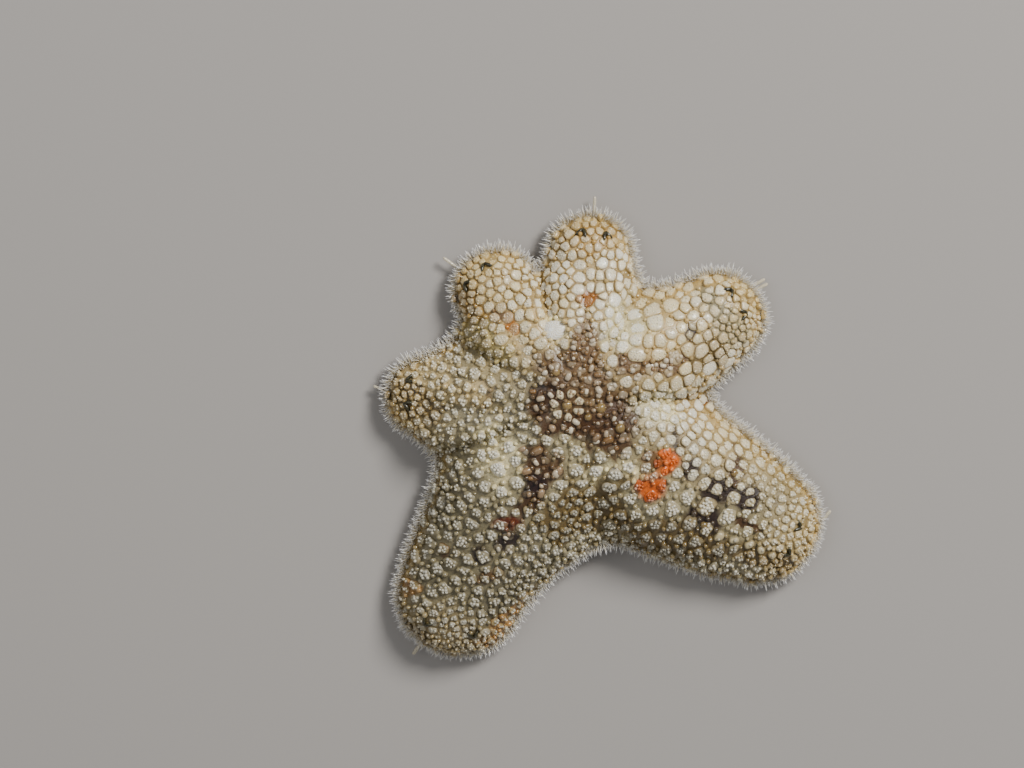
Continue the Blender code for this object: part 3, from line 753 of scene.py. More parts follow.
def foot_pieces():
    """Tube feet in units of their length: two with suckers, and a thin feeler with a rounded end."""
    for k, wide in enumerate((1.0, 1.15)):
        folds = [((0.17 + 0.014 * (step % 2)) * wide, 0.09 * step - 0.04, 0.1) for step in range(9)]
        end = [(0.16, 0.79, 0.4), (0.26 * wide, 0.87, 0.8), (0.29 * wide, 0.94, 1.0), (0.27 * wide, 1.0, 1.0)]
        cup = [(0.17, 0.985, 0.8), (0.08, 0.93, 0.5), (0.0, 0.91, 0.4)]
        yield f"foot_{k}", turn_piece(bmesh.new(), folds + end + cup, 12)
    folds = [(0.074 - 0.001 * step + 0.004 * (step % 2), 0.1 * step, 1.0) for step in range(9)]
    end = [(0.066, 0.9, 1.0), (0.05, 0.97, 1.0), (0.0, 1.0, 1.0)]
    yield "foot_2_feeler", turn_piece(bmesh.new(), folds + end, 10)


def furrow_spine_pieces():
    """Fans of spines that stand along the furrow, then short pairs, in millimetres."""
    draw = random.Random(SEED + 3)
    fans = (("a_fan", 5, 0.38), ("b_fan", 4, 0.40), ("c_pair", 2, 0.30), ("d_pair", 3, 0.28))
    for name, count, length in fans:
        bm = bmesh.new()
        for step in range(count):
            across = step - (count - 1) / 2.0
            foot = Vector((across * 0.09, draw.uniform(-0.02, 0.02), -0.06))
            spinelet(bm, foot, (across * 0.16, draw.uniform(-0.1, 0.1)), length + 0.06, 0.085, 6, 0.75)
        yield name, bm


def sole_pieces():
    """Plates of the oral side with two to four short spines, in millimetres."""
    draw = random.Random(SEED + 4)
    rings = ((0.23, -0.08, 0.0), (0.23, 0.01, 0.1), (0.19, 0.05, 0.3), (0.0, 0.07, 0.4))
    for k, count in enumerate((2, 3, 3, 4)):
        bm = turn_piece(bmesh.new(), rings, 8, wobble=[draw.uniform(0.85, 1.1) for _ in range(8)])
        for step in range(count):
            angle = step * 2.0 * math.pi / count + draw.uniform(-0.3, 0.3)
            foot = Vector((math.cos(angle) * 0.1, math.sin(angle) * 0.1, 0.0))
            lean = (0.25 + 0.15 * math.cos(angle), 0.15 * math.sin(angle))
            spinelet(bm, foot, lean, 0.25 * draw.uniform(0.85, 1.05), 0.085, 6, 0.7)
        yield f"sole_{k}", bm


# Standing the pieces on the skin


def standing_tree():
    """The tree that stands pieces of a kit on points, each turned to face its own way, as one plain mesh."""
    tree = bpy.data.node_groups.new("stand_pieces", "GeometryNodeTree")
    for name, kind, value in (
        ("Points", "Geometry", None), ("Kit", "Collection", None), ("Material", "Material", None),
        ("Size", "Float", 1.0), ("Size variation", "Float", 0.08), ("Spin", "Float", 3.14),
        ("Map patch", "Float", MAP_PATCH), ("Seed", "Int", 1),
    ):
        socket = tree.interface.new_socket(name=name, in_out="INPUT", socket_type="NodeSocket" + kind)
        if value is not None:
            socket.default_value = value
    tree.interface.new_socket(name="Mesh", in_out="OUTPUT", socket_type="NodeSocketGeometry")
    given = tree.nodes.new("NodeGroupInput").outputs

    def node(kind, output, inputs, **settings):
        return add_node(tree, kind, output, inputs, **settings)

    def named(name, kind="FLOAT_VECTOR"):
        return node("GeometryNodeInputNamedAttribute", "Attribute", {"Name": name}, data_type=kind)

    def number(operation, first, second):
        return node("ShaderNodeMath", "Value", {0: first, 1: second}, operation=operation)

    def vector(operation, first, key, second):
        return node("ShaderNodeVectorMath", "Vector", {0: first, key: second}, operation=operation)

    def drawn(low, high, shift):
        seed = number("ADD", given["Seed"], shift)
        return node("FunctionNodeRandomValue", 1, {"Seed": seed, 2: low, 3: high})

    align = "FunctionNodeAlignRotationToVector"
    upright = node(align, "Rotation", {"Vector": named("facing")}, axis="Z")
    aside = {"Rotation": upright, "Vector": named("aside")}
    turned = node(align, "Rotation", aside, axis="X", pivot_axis="Z")
    angle = drawn(number("MULTIPLY", given["Spin"], -1.0), given["Spin"], 1)
    spin = node("FunctionNodeAxisAngleToRotation", "Rotation", {"Axis": (0.0, 0.0, 1.0), "Angle": angle})
    turns = {"Rotation": turned, "Rotate By": spin}
    rotation = node("FunctionNodeRotateRotation", "Rotation", turns, rotation_space="LOCAL")

    low, high = (number(operation, 1.0, given["Size variation"]) for operation in ("SUBTRACT", "ADD"))
    size = number("MULTIPLY", named("size", "FLOAT"), given["Size"])
    size = number("MULTIPLY", size, drawn(low, high, 2))
    kit = {"Collection": given["Kit"], "Separate Children": True, "Reset Children": True}
    stood = node("GeometryNodeInstanceOnPoints", "Instances", {
        "Points": given["Points"], "Instance": node("GeometryNodeCollectionInfo", "Instances", kit),
        "Pick Instance": True, "Instance Index": named("variant", "INT"), "Rotation": rotation, "Scale": size,
    })
    mesh = node("GeometryNodeRealizeInstances", "Geometry", {"Geometry": stood})

    centred = vector("SUBTRACT", named("own_map"), 1, (0.5, 0.5, 0.0))
    place = vector("ADD", named("root_map"), 1, vector("SCALE", centred, "Scale", given["Map patch"]))
    values = {"Geometry": mesh, "Name": "OFBake", "Value": place}
    mesh = node("GeometryNodeStoreNamedAttribute", "Geometry", values, data_type="FLOAT2", domain="CORNER")
    mesh = node("GeometryNodeSetMaterial", "Geometry", {"Geometry": mesh, "Material": given["Material"]})
    tree.links.new(mesh, tree.nodes.new("NodeGroupOutput").inputs["Mesh"])
    return tree


def set_attribute(mesh, name, kind, values):
    """Gives each vertex its own value."""
    field = {"FLOAT_VECTOR": "vector", "FLOAT_COLOR": "color"}.get(kind, "value")
    values = values.astype(np.int32 if kind == "INT" else np.float32).ravel()
    mesh.attributes.new(name, kind, "POINT").data.foreach_set(field, values)


def stand(tree, name, spots, pieces, material, variation=0.08, spin=3.14):
    """Stands pieces on spots, as one plain mesh for each region. A spot has its place, facing, side, size,
    tint, place on the unwrap, kind of piece and region."""
    kit = make_kit(f"{name}_kit", pieces)
    for region in sorted({spot[-1] for spot in spots}):
        columns = zip(*(spot[:-1] for spot in spots if spot[-1] == region))
        at, facing, aside, size, tint, flat, variant = (np.array(column) for column in columns)
        mesh = bpy.data.meshes.new(f"{name}_{region}_points")
        mesh.from_pydata(placed(at).tolist(), [], [])
        set_attribute(mesh, "facing", "FLOAT_VECTOR", facing)
        set_attribute(mesh, "aside", "FLOAT_VECTOR", aside)
        set_attribute(mesh, "size", "FLOAT", size)
        set_attribute(mesh, "tint", "FLOAT_COLOR", np.insert(tint, 3, 1.0, axis=1))
        set_attribute(mesh, "root_map", "FLOAT_VECTOR", np.insert(flat, 2, 0.0, axis=1))
        set_attribute(mesh, "variant", "INT", variant)
        base = add_object(f"{name}_points", mesh)
        modifier = base.modifiers.new("stand", "NODES")
        modifier.node_group = tree
        inputs = {"Kit": kit, "Material": material, "Seed": SEED}
        inputs.update({"Size": MM, "Size variation": variation, "Spin": spin})
        for item in tree.interface.items_tree:
            if item.item_type == "SOCKET" and item.in_out == "INPUT" and item.name in inputs:
                modifier[item.identifier] = inputs[item.name]
        bpy.context.view_layer.update()
        graph = bpy.context.evaluated_depsgraph_get()
        result = bpy.data.meshes.new_from_object(base.evaluated_get(graph))
        bpy.data.objects.remove(base)
        for key in ("facing", "aside", "size", "root_map", "variant", "own_map"):
            if key in result.attributes:
                result.attributes.remove(result.attributes[key])
        piece = add_object(f"{name}_{region}", result)
        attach(piece, "root")


# The skin


def make_skin(material):
    """One skin over the disc and the arms, from the same formula as the solids."""
    side, tip, top, below = 61, 25, 41, 33
    u = np.concatenate((np.linspace(0.0, 1.0, side), 1.0 + np.linspace(0.0, 1.0, tip)[1:]))
    v = np.linspace(0.0, 1.0, top)
    across = np.concatenate((v, np.linspace(0.0, 1.0, below)[1:]))
    bm = bmesh.new()
    bake = bm.loops.layers.uv.new("OFBake")
    oral = bm.verts.layers.float.new("oral")
    for half in HALVES:
        grid = placed(np.concatenate((half.top(u, v), half.bottom(u, below)), axis=1))
        rows = [[bm.verts.new(point) for point in column] for column in grid]
        for column in rows:
            for k, vert in enumerate(column[top:]):
                vert[oral] = min(1.0, k / 4.0)
        for i in range(len(u) - 1):
            for k in range(grid.shape[1] - 1):
                start = 0.0 if k == top - 1 else across[k]
                face = bm.faces.new((rows[i][k], rows[i][k + 1], rows[i + 1][k + 1], rows[i + 1][k]))
                face.smooth = True
                corners = ((u[i], start), (u[i], across[k + 1]), (u[i + 1], across[k + 1]), (u[i + 1], start))
                for loop, (along, down) in zip(face.loops, corners):
                    loop[bake].uv = flat_place(half.cell, along, down, float(k + 1 >= top))
    bmesh.ops.remove_doubles(bm, verts=bm.verts, dist=1e-6)
    bmesh.ops.dissolve_degenerate(bm, edges=bm.edges, dist=1e-7)
    bmesh.ops.recalc_face_normals(bm, faces=bm.faces)
    return make_piece("skin", bm, material=material)


class Seen:
    """Finds the place on the skin that the camera sees at a pixel."""

    def __init__(self, skin, camera):
        bm = bmesh.new()
        bm.from_mesh(skin.data)
        self.tree = BVHTree.FromBMesh(bm)
        bm.free()
        self.camera = camera

    def at(self, pixel):
        """The point from the disc's centre, in millimetres, and its normal."""
        bpy.context.view_layer.update()
        start = self.camera.matrix_world.translation
        across = (pixel[0] - PICTURE[0] / 2) * PIXEL
        up = (PICTURE[1] / 2 - pixel[1]) * PIXEL
        way = self.camera.matrix_world.to_3x3() @ Vector((across, up, -CAMERA_DISTANCE))
        point, normal, _, _ = self.tree.ray_cast(start, way.normalized())
        if point is None:
            level = (EDGE_HEIGHT * MM - start.z) / way.z
            point, normal, _, _ = self.tree.find_nearest(start + way * level)
        point = np.array(point) / MM
        point[:2] -= CENTRE
        return point, np.array(normal)

    def height(self, at, offset):
        """How far the skin stands over the plane through a point, at an offset in it, in millimetres."""
        normal = self.tree.find_nearest(Vector(placed(at)))[1]
        start = Vector(placed(at + np.array(offset))) + normal * MM
        hit = self.tree.ray_cast(start, -normal)[0]
        return 1.0 - (hit - start).length / MM if hit else 0.0


def oval_share(points, place, long, wide, turn):
    """How far points are from a place, as a share of an oval's half length and half width."""
    away = points[:, :2] - place[:2]
    angle = math.radians(turn)
    x = away[:, 0] * math.cos(angle) + away[:, 1] * math.sin(angle)
    y = away[:, 1] * math.cos(angle) - away[:, 0] * math.sin(angle)
    return np.sqrt((x / long) ** 2 + (y / wide) ** 2)


class Paint:
    """The animal's colours at any place on its upper side, with painted shade over them."""

    def __init__(self, seen):
        self.marks = [(seen.at(mark[0])[0], *mark[1:]) for mark in MARKS.values()]
        self.broad = [(seen.at(area[0])[0], *area[1:]) for area in BROAD_AREAS]
        self.tips = [half.tip_centre + half.along * half.tip_radius for half in HALVES[::2]]

    def from_tip(self, points):
        """Distance to the nearest arm's tip."""
        return np.min([np.linalg.norm(points[:, :2] - tip, axis=1) for tip in self.tips], axis=0)

    def openness(self, points):
        """0 in the upper right, where plates are close set, to 1 in the lower left, where skin shows."""
        along = points[:, :2] @ PALE_AND_LIT_WAY + 0.9 * mottle(points, 3.0, 5)
        return (1.0 - ease((along + 3.2) / 6.0)) * (0.35 + 0.65 * ease((self.from_tip(points) - 1.0) / 3.0))

    def shade(self, points):
        """How much of its brightness the animal keeps under the painted shade that darkens it towards the
        lower left.
        """
        return 1.0 - 0.3 * ease((-3.5 - points[:, :2] @ PALE_AND_LIT_WAY) / 6.0)

    def edge_share(self, points):
        """How near a place is to the edge, by its height, from 0 to 1."""
        return 1.0 - ease((points[:, 2] - 0.9) / 1.3)

    def weights(self, points):
        """How strongly each mark shows at each place, with ragged rims."""
        noise = 0.24 * mottle(points, 0.5, 7) + 0.12 * mottle(points, 0.18, 8)
        found = []
        for name, mark in zip(MARKS, self.marks):
            ragged = noise * (0.4 if name in VIVID_MARKS else 1.0)
            found.append(1.0 - ease((oval_share(points, *mark[:4]) + ragged - 0.75) / 0.5))
        return np.array(found)

    def breadth(self, points):
        """How much broader than most the plates are at each place."""
        shares = [(oval_share(points, *area[:4]), area[4]) for area in self.broad]
        return 1.0 + sum(extra * (1.0 - ease((share - 0.5) / 0.8)) for share, extra in shares)

    def strength(self, points, names):
        """How strongly any of the named marks shows at each place."""
        rows = [index for index, name in enumerate(MARKS) if name in names]
        return np.max(self.weights(points)[rows], axis=0)

    def skin(self, points):
        """Colours of the skin: golden in the upper right, olive in the lower left, dark in the marks, with
        painted shade towards the lower left.
        """
        colour = blend(0.76 * GOLDEN + 0.24 * PALE, OLIVE, self.openness(points))
        colour = blend(colour, 0.5 * GOLDEN + 0.5 * STRAW, self.edge_share(points))
        for weight, mark in zip(self.weights(points), self.marks):
            colour = blend(colour, mark[4], weight * 0.95)
        # Painted shade towards the lower left, and random tone
        return colour * (self.shade(points) * (1.0 + 0.13 * mottle(points, 1.1, 9)))[:, None]

    def plates(self, points, draw):
        """Colours of the plates, one for each: cream to white, straw at the rims, tinted in the marks, with
        painted shade towards the lower left.
        """
        whiteness = 0.48 + 0.3 * mottle(points, 1.6, 11) + draw.normal(0.0, 0.18, len(points))
        colour = blend(CREAM, WHITE, np.clip(whiteness, 0.0, 1.0))
        golden = (1.0 - ease((self.from_tip(points) - 0.6) / 2.2)) * 0.6 + 0.4 * self.edge_share(points)
        colour = blend(colour, STRAW, np.clip(golden + draw.normal(0.0, 0.14, len(points)), 0.0, 0.9))
        colour = blend(colour, OLIVE * 1.25, 0.8 * self.openness(points))
        for weight, mark in zip(self.weights(points), self.marks):
            colour = blend(colour, mark[5], weight * mark[6])
        # Painted shade towards the lower left, and random tone for each plate
        return colour * (self.shade(points) * (1.0 + draw.normal(0.0, 0.06, len(points))))[:, None]

    def beads(self, points, plates, draw):
        """Colours of the beads: near white on open plates, straw in the dark middle, orange in the orange,
        with painted shade towards the lower left and in the marks of painted shade.
        """
        vivid, shadow_share, dark = (self.strength(points, names) for names in (VIVID_MARKS, PAINTED_SHADE_MARKS, DARK_MARKS))
        # Painted shade towards the lower left and in the marks of painted shade
        pale = 0.80 * WHITE * (self.shade(points) * (1.0 - 0.5 * shadow_share))[:, None]
        colour = blend(plates, pale, 0.25 + 0.5 * self.openness(points))
        colour = blend(colour, blend(PEBBLE, BARK * 1.5, draw.uniform(0.0, 1.0, len(points))), dark)
        colour = blend(colour, plates * 1.05, vivid)
        return colour * (1.0 + draw.normal(0.0, 0.08, len(points)))[:, None]


def tint_skin(skin, paint):
    """Paints the skin's own colour attribute; the oral side is a warm straw with painted shade, darker the
    higher it stands, up in the furrows.
    """
    count = len(skin.data.vertices)
    points, oral = np.zeros(count * 3, np.float32), np.zeros(count, np.float32)
    skin.data.vertices.foreach_get("co", points)
    skin.data.attributes["oral"].data.foreach_get("value", oral)
    points = points.reshape(-1, 3).astype(float) / MM
    points[:, :2] -= CENTRE
    # Painted shade: the oral side darker up in the furrows, with random tone
    shade = 0.62 + 0.2 * mottle(points, 0.9, 17) - 0.22 * ease((points[:, 2] - 0.5) / 0.5)
    colour = blend(paint.skin(points), (0.5 * STRAW + 0.5 * CREAM) * shade[:, None], oral)
    set_attribute(skin.data, "tint", "FLOAT_COLOR", np.insert(colour, 3, 1.0, axis=1))


# The places of the plates, as rows along each arm


def outward(grid, half):
    """Outward normals of a grid of points on one side of an arm."""
    return unit(np.cross(np.gradient(grid, axis=0), np.gradient(grid, axis=1)) * half.side)


def upper_grid(half, across, down):
    """One side's top: stations, points, normals, lengths from the crest down to each, and sizes of the plates
    at each station, which are smaller at the tip."""
    stations = np.linspace(0.0, 2.0, across)
    grid = half.top(stations, np.linspace(0.0, 1.0, down))
    steps = np.linalg.norm(np.diff(grid, axis=1), axis=2)
    reach = np.concatenate((np.zeros((across, 1)), np.cumsum(steps, axis=1)), axis=1)
    sizes = 1.0 + (TIP_CROWDING - 1.0) * ease((stations - 0.55) / 1.2)
    return stations, grid, outward(grid, half), reach, sizes


def row_places(half, first_row):
    """Places in staggered rows from the crest down to the edge: (row, point, normal, size, u, v, half)."""
    across, down = 241, 61
    stations, grid, normals, reach, sizes = upper_grid(half, across, down)
    found = []
    for row in range(first_row, 40):
        far = row * PLATE_PITCH * ROW_SPACING * sizes
        inside = np.nonzero(far < reach[:, -1] - PLATE_EDGE_ROOM)[0]
        if len(inside) < 2:
            break
        line = []
        for i in inside:
            n = min(np.searchsorted(reach[i], far[i], side="right") - 1, down - 2)
            share = (far[i] - reach[i, n]) / (reach[i, n + 1] - reach[i, n])
            point = grid[i, n] + (grid[i, n + 1] - grid[i, n]) * share
            line.append((*point, *normals[i, n + 1], sizes[i], stations[i], (n + share) / (down - 1)))
        line = np.array(line)
        steps = np.linalg.norm(np.diff(line[:, :3], axis=0), axis=1) / line[1:, 6]
        length = np.concatenate(([0.0], np.cumsum(steps)))
        count = max(1, round(length[-1] / PLATE_PITCH))
        stagger = row % 2
        for k in range(count + 1 - stagger):
            along = (k + 0.5 * stagger) * length[-1] / count
            found.append((row, *sample(along, length, line), half))
    return found


def fill_places(half):
    """Places all over one side's top, for plates where the rows leave a hole."""
    down = 61
    stations, grid, normals, reach, sizes = upper_grid(half, 121, down)
    return [
        (FILL, *grid[i, n], *normals[i, n], sizes[i], stations[i], n / (down - 1), half)
        for i, n in np.argwhere(reach < reach[:, -1:] - PLATE_EDGE_ROOM)
        if n > 0
    ]


class Plate:
    """One plate: its place and frame on the skin, its size, and its place on the unwrap."""

    def __init__(self, at, normal, size, u, v, half, kind):
        self.at, self.size, self.half, self.kind = at, size, half, kind
        self.up = unit(normal)
        ahead = np.append(at[:2] if np.linalg.norm(at[:2]) > 0.01 else (1.0, 0.0), 0.0)
        self.across = unit(np.cross(self.up, ahead))
        self.ahead = np.cross(self.across, self.up)
        self.flat = flat_place(half.cell, u, v)

    def shape(self, centres, sizes, groove, slim):
        """Its radius at even angles from the way ahead: a share of the skin with rounded corners."""
        angles = np.arange(PLATE_SIDES) * 2.0 * math.pi / PLATE_SIDES
        away = centres - self.at
        near = np.nonzero(np.linalg.norm(away, axis=1) < 1.9 * PLATE_PITCH * max(self.size, 0.8))[0]
        x, y = away[near] @ self.ahead, away[near] @ self.across
        far = np.hypot(x, y)
        near, x, y, far = near[far > 1e-6], x[far > 1e-6], y[far > 1e-6], far[far > 1e-6]
        border = np.maximum(far * self.size / (self.size + sizes[near]) - groove / 2.0, 0.08)
        lean = np.cos(angles[:, None] - np.arctan2(y, x)[None, :])
        reach = np.where(lean > 0.05, border[None, :] / np.maximum(lean, 0.05), 99.0)
        most = 0.66 * PLATE_PITCH * self.size
        self.radii = (np.sum(reach**-CORNERS, axis=1) + most**-CORNERS) ** (-1.0 / CORNERS)
        self.radii *= 1.0 - slim * (0.35 + 0.65 * np.cos(angles) ** 2)

    def point(self, share, angle_index, rise):
        """A point over the plate, at a share of its radius."""
        angle = angle_index * 2.0 * math.pi / PLATE_SIDES
        low = int(angle_index) % PLATE_SIDES
        radius = blend(self.radii[low], self.radii[(low + 1) % PLATE_SIDES], angle_index % 1.0)
        flat = (math.cos(angle) * self.ahead + math.sin(angle) * self.across) * radius * share
        return self.at + flat + self.up * rise


def named_plates(seen, fill):
    """The plates whose places are known: the ring round the disc's middle and the swollen ones."""
    middle, _ = seen.at(RING_PIXEL)
    round_it = [polar(360.0 * k / RING_COUNT + 20.0, RING_RADIUS) for k in range(RING_COUNT)]
    wanted = [(middle + np.append(away, 0.0), RING_SIZE, "ring") for away in round_it]
    wanted += [(seen.at(pixel)[0], BULB_SIZE, "bulb") for pixel in BULB_PIXELS]
    everywhere = np.array([spot[1:4] for spot in fill])
    found = []
    for place, size, kind in wanted:
        near = fill[int(np.argmin(np.linalg.norm(everywhere - place, axis=1)))]
        found.append((kind, *place[:2], near[3], *near[4:7], size, *near[8:]))
    return found


def spread_plates(paint, seen, draw):
    """The plates, without any that crowds another. The ones whose places are known come first."""
    rows = [spot for half in HALVES for spot in row_places(half, int(half.side > 0))]
    rows.sort(key=lambda spot: spot[0])
    fill = [spot for half in HALVES for spot in fill_places(half)]
    fill = [fill[k] for k in draw.permutation(len(fill))]
    known = named_plates(seen, fill)
    spots = known + rows + fill
    points = np.array([spot[1:4] for spot in spots])
    points[len(known):, :2] += draw.normal(0.0, PLATE_SHIFT, (len(spots) - len(known), 2))
    jitter = 1.0 + PLATE_VARIATION * np.clip(draw.normal(size=len(spots)), -1.6, 1.8)
    patchy = 1.0 + 0.13 * mottle(points, 1.4, 31)
    small = 1.0 - 0.12 * paint.strength(points, DARK_MARKS)
    scale = jitter * patchy * small * paint.breadth(points)
    sieve, _ = seen.at(SIEVE_PIXEL)
    middle, _ = seen.at(RING_PIXEL)
    notches = np.array([seen.at(notch[0])[0] for notch in TIP_NOTCHES])
    centres, sizes, kept = np.zeros((0, 3)), np.zeros(0), []
    for k, spot in enumerate(spots):
        at, size = points[k], spot[7] * (1.0 if k < len(known) else scale[k])
        if k >= len(known):
            room = (FILL_ROOM if spot[0] == FILL else PLATE_ROOM) * PLATE_PITCH
            if (
                np.linalg.norm(at - sieve) < SIEVE_RADIUS + 0.30 * size
                or np.linalg.norm(at - middle) < MIDDLE_ROOM
                or nearest(notches, at) < NOTCH_ROOM
                or np.any(np.linalg.norm(centres - at, axis=1) < room * (sizes + size) / 2.0)
            ):
                continue
        centres, sizes = np.vstack((centres, at)), np.append(sizes, size)
        kind = spot[0] if k < len(known) else "plain"
        kept.append(Plate(at, np.array(spot[4:7]), size, spot[8], spot[9], spot[10], kind))
    return kept


def region_of(half, point):
    """The disc within a ring round the centre, and each arm beyond it."""
    return "disc" if np.linalg.norm(point[:2]) < DISC_RADIUS else half.name


def add_plates(paint, plates, rises, tints, material):
    """All the plates as one plain mesh: low domes with rounded corners, of the skin's colour at the root,
    partly painted shade on their sides.
    """
    bm = bmesh.new()
    tint = bm.verts.layers.float_color.new("tint")
    ground = paint.skin(np.array([plate.at for plate in plates]))
    places = {}

    def place(section, angle, k):
        share, height, mixed = section
        vert = bm.verts.new(placed(plate.point(share, k, rise * height)))
        # Towards the rim the skin's colour, partly real and partly painted shade
        vert[tint] = (*blend(colour, rim_skin_and_shade, mixed), 1.0)
        places[vert] = plate.flat + MAP_PATCH / 2.0 * share * np.array([math.cos(angle), math.sin(angle)])
        return vert

    for plate, rise, colour, rim_skin_and_shade in zip(plates, rises, tints, ground):
        add_rings(bm, PLATE_RINGS, PLATE_SIDES, place)
    piece = make_piece("plates", bm, places, material)
    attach(piece, "root")


def add_beads(tree, paint, plates, rises, tints, material):
    """The crown of beads on each plate: low grains on close plates, tall glassy beads on open ones."""
    draw = np.random.default_rng(SEED + 3)
    centres = np.array([plate.at for plate in plates])
    found = []
    for plate, lift, tint, wide, deep in zip(
        plates, rises, tints, paint.openness(centres), paint.strength(centres, DARK_MARKS)
    ):
        deep *= plate.kind == "plain"
        bulb = plate.kind == "bulb"
        tall = max(wide, deep, 0.8 * bulb)
        pitch = BEAD_PITCH * (0.9 - 0.02 * wide + 0.75 * deep)
        cover = 0.80 - 0.16 * wide + 0.1 * deep - 0.3 * bulb
        area = math.pi * float(np.mean(plate.radii**2)) * cover**2
        count = max(1, round(area / pitch**2 * 1.1))
        turn = draw.uniform(0.0, PLATE_SIDES)
        for k in range(count):
            share = math.sqrt((k + 0.5) / count) * cover * draw.uniform(0.9, 1.08)
            angle = turn + k * BEAD_TURN * PLATE_SIDES / (2.0 * math.pi) + draw.uniform(-0.5, 0.5)
            rise = lift * (1.0 - 0.5 * share**3) - 0.012
            at = plate.point(share, angle, rise)
            facing = plate.up + (at - plate.at - plate.up * rise) * (0.6 + 1.4 * tall)
            size = (0.05 + 0.032 * wide + 0.06 * deep) * draw.uniform(0.8, 1.2) * (0.9 + 0.1 * plate.size)
            size *= 1.0 + deep * draw.uniform(-0.3, 0.35)
            kind = int(draw.integers(2)) + 2 * int(draw.uniform() < 0.1 + 0.85 * tall - 0.5 * deep)
            kind = 4 + kind % 2 if draw.uniform() < 0.75 * deep else kind
            region = region_of(plate.half, at)
            found.append((at, unit(facing), plate.across, size, tint, plate.flat, kind, region))
    points, ground = (np.array([spot[index] for spot in found]) for index in (0, 4))
    spots = [(*spot[:4], tint, *spot[5:]) for spot, tint in zip(found, paint.beads(points, ground, draw))]
    stand(tree, "beads", spots, bead_pieces(), material, variation=0.06)


def add_gill_bulbs(tree, paint, seen, plates, material):
    """Soft bulbs in the widest gaps between plates, away from the edge."""
    draw = np.random.default_rng(SEED + 5)
    sieve, _ = seen.at(SIEVE_PIXEL)
    spots, taken = [], np.zeros((0, 3))
    centres = np.array([plate.at for plate in plates])
    reach = np.array([np.mean(plate.radii) for plate in plates])
    fill = [spot for half in HALVES for spot in fill_places(half)]
    points = np.array([spot[1:4] for spot in fill])
    tints = paint.skin(points)
    for k in draw.permutation(len(fill)):
        at = points[k]
        if at[2] < 1.5 or np.linalg.norm(at - sieve) < SIEVE_RADIUS + 0.1:
            continue
        room = np.min(np.linalg.norm(centres - at, axis=1) - reach)
        if room < 0.05 or nearest(taken, at) < 0.38:
            continue
        taken = np.vstack((taken, at))
        radius = min(0.14, room + 0.04) * draw.uniform(0.85, 1.15)
        facing, (u, v, half) = unit(np.array(fill[k][4:7])), fill[k][8:]
        tint, flat = tints[k] * 1.12 + 0.06 * CREAM, flat_place(half.cell, u, v)
        spots.append((at, facing, (1.0, 0.0, 0.0), radius, tint, flat, int(draw.integers(3)), "top"))
    for pixel, radius in BLISTERS:
        at, facing = seen.at(pixel)
        tint = 0.72 * paint.skin(at[None, :])[0] + 0.28 * STRAW
        flat = flat_place(nearest_half(at).cell, 0.8, 0.3)
        spots.append((at + facing * 0.03, facing, (1.0, 0.0, 0.0), radius, tint, flat, 3, "top"))
    stand(tree, "gill_bulbs", spots, bulb_pieces(), material)


def edge_places(half, share, pitch):
    """Places along one side's edge at a share of the way down: point, way out, way along, u."""
    u = np.linspace(0.0, 2.0, 401)
    line = half.top(u, np.array([share, 1.0]))[:, 0]
    length = travelled(line)
    ahead = unit(np.gradient(line[:, :2], axis=0))
    count = max(1, round(length[-1] / pitch))
    for k in range(count):
        along = (k + 0.5) * length[-1] / count
        way = unit(sample(along, length, ahead))
        out = np.array([way[1], -way[0]]) * -half.side
        yield sample(along, length, line), out, way, np.interp(along, length, u)


def add_fringe(tree, paint, material):
    """Brushes of fine glassy spines round the edge, in four rows that rise more the higher they stand."""
    draw = np.random.default_rng(SEED + 7)
    spots = []
    for half in HALVES:
        for share, rise, size, keep in BRUSH_ROWS:
            for at, out, way, u in edge_places(half, share, BRUSH_PITCH * (0.7 + 0.3 * size)):
                tilt = math.radians(rise + draw.uniform(-6.0, 6.0))
                facing = (out[0] * math.cos(tilt), out[1] * math.cos(tilt), math.sin(tilt))
                tint = blend(0.25 * STRAW + 0.75 * CREAM, paint.skin(at[None, :])[0], keep)
                scale = size * draw.uniform(0.88, 1.1) * (0.9 if u > 1.6 else 1.0)
                flat = flat_place(half.cell, u, share)
                spots.append((at, facing, (*way, 0.0), scale, tint, flat, int(draw.integers(4)), half.name))
    stand(tree, "edge_spines", spots, brush_pieces(), material, variation=0.05, spin=0.15)


# The oral side


def under_grid(half):
    """Points of one side's underside from its edge to the furrow's middle, and their outward normals."""
    grid = half.bottom(np.linspace(0.0, 2.0, UNDER_GRID[0]), UNDER_GRID[1])
    return grid, outward(grid, half)


def under_column(share):
    """The column of the underside's grid at a share of the half width."""
    return int(np.argmin(np.abs(under_section(UNDER_GRID[1])[1] - share)))


def under_flat(half, station, v):
    """A place on the unwrap of one side's underside, from its station in the grid."""
    return flat_place(half.cell, 2.0 * station / (UNDER_GRID[0] - 1), v, 1)


def along_line(line, pitch, start):
    """Indices at even steps along a line of points, beyond a start distance from the disc's centre."""
    length = travelled(line)
    outside = np.nonzero(np.linalg.norm(line[:, :2], axis=1) > start)[0]
    if len(outside) == 0:
        return []
    first = length[outside[0]]
    count = int((length[-1] - first) / pitch)
    return [int(np.searchsorted(length, first + (k + 0.5) * pitch)) for k in range(count)]


def level_way(start, end):
    """The way from one point to another, seen from above."""
    return unit((end - start) * (1.0, 1.0, 0.0))


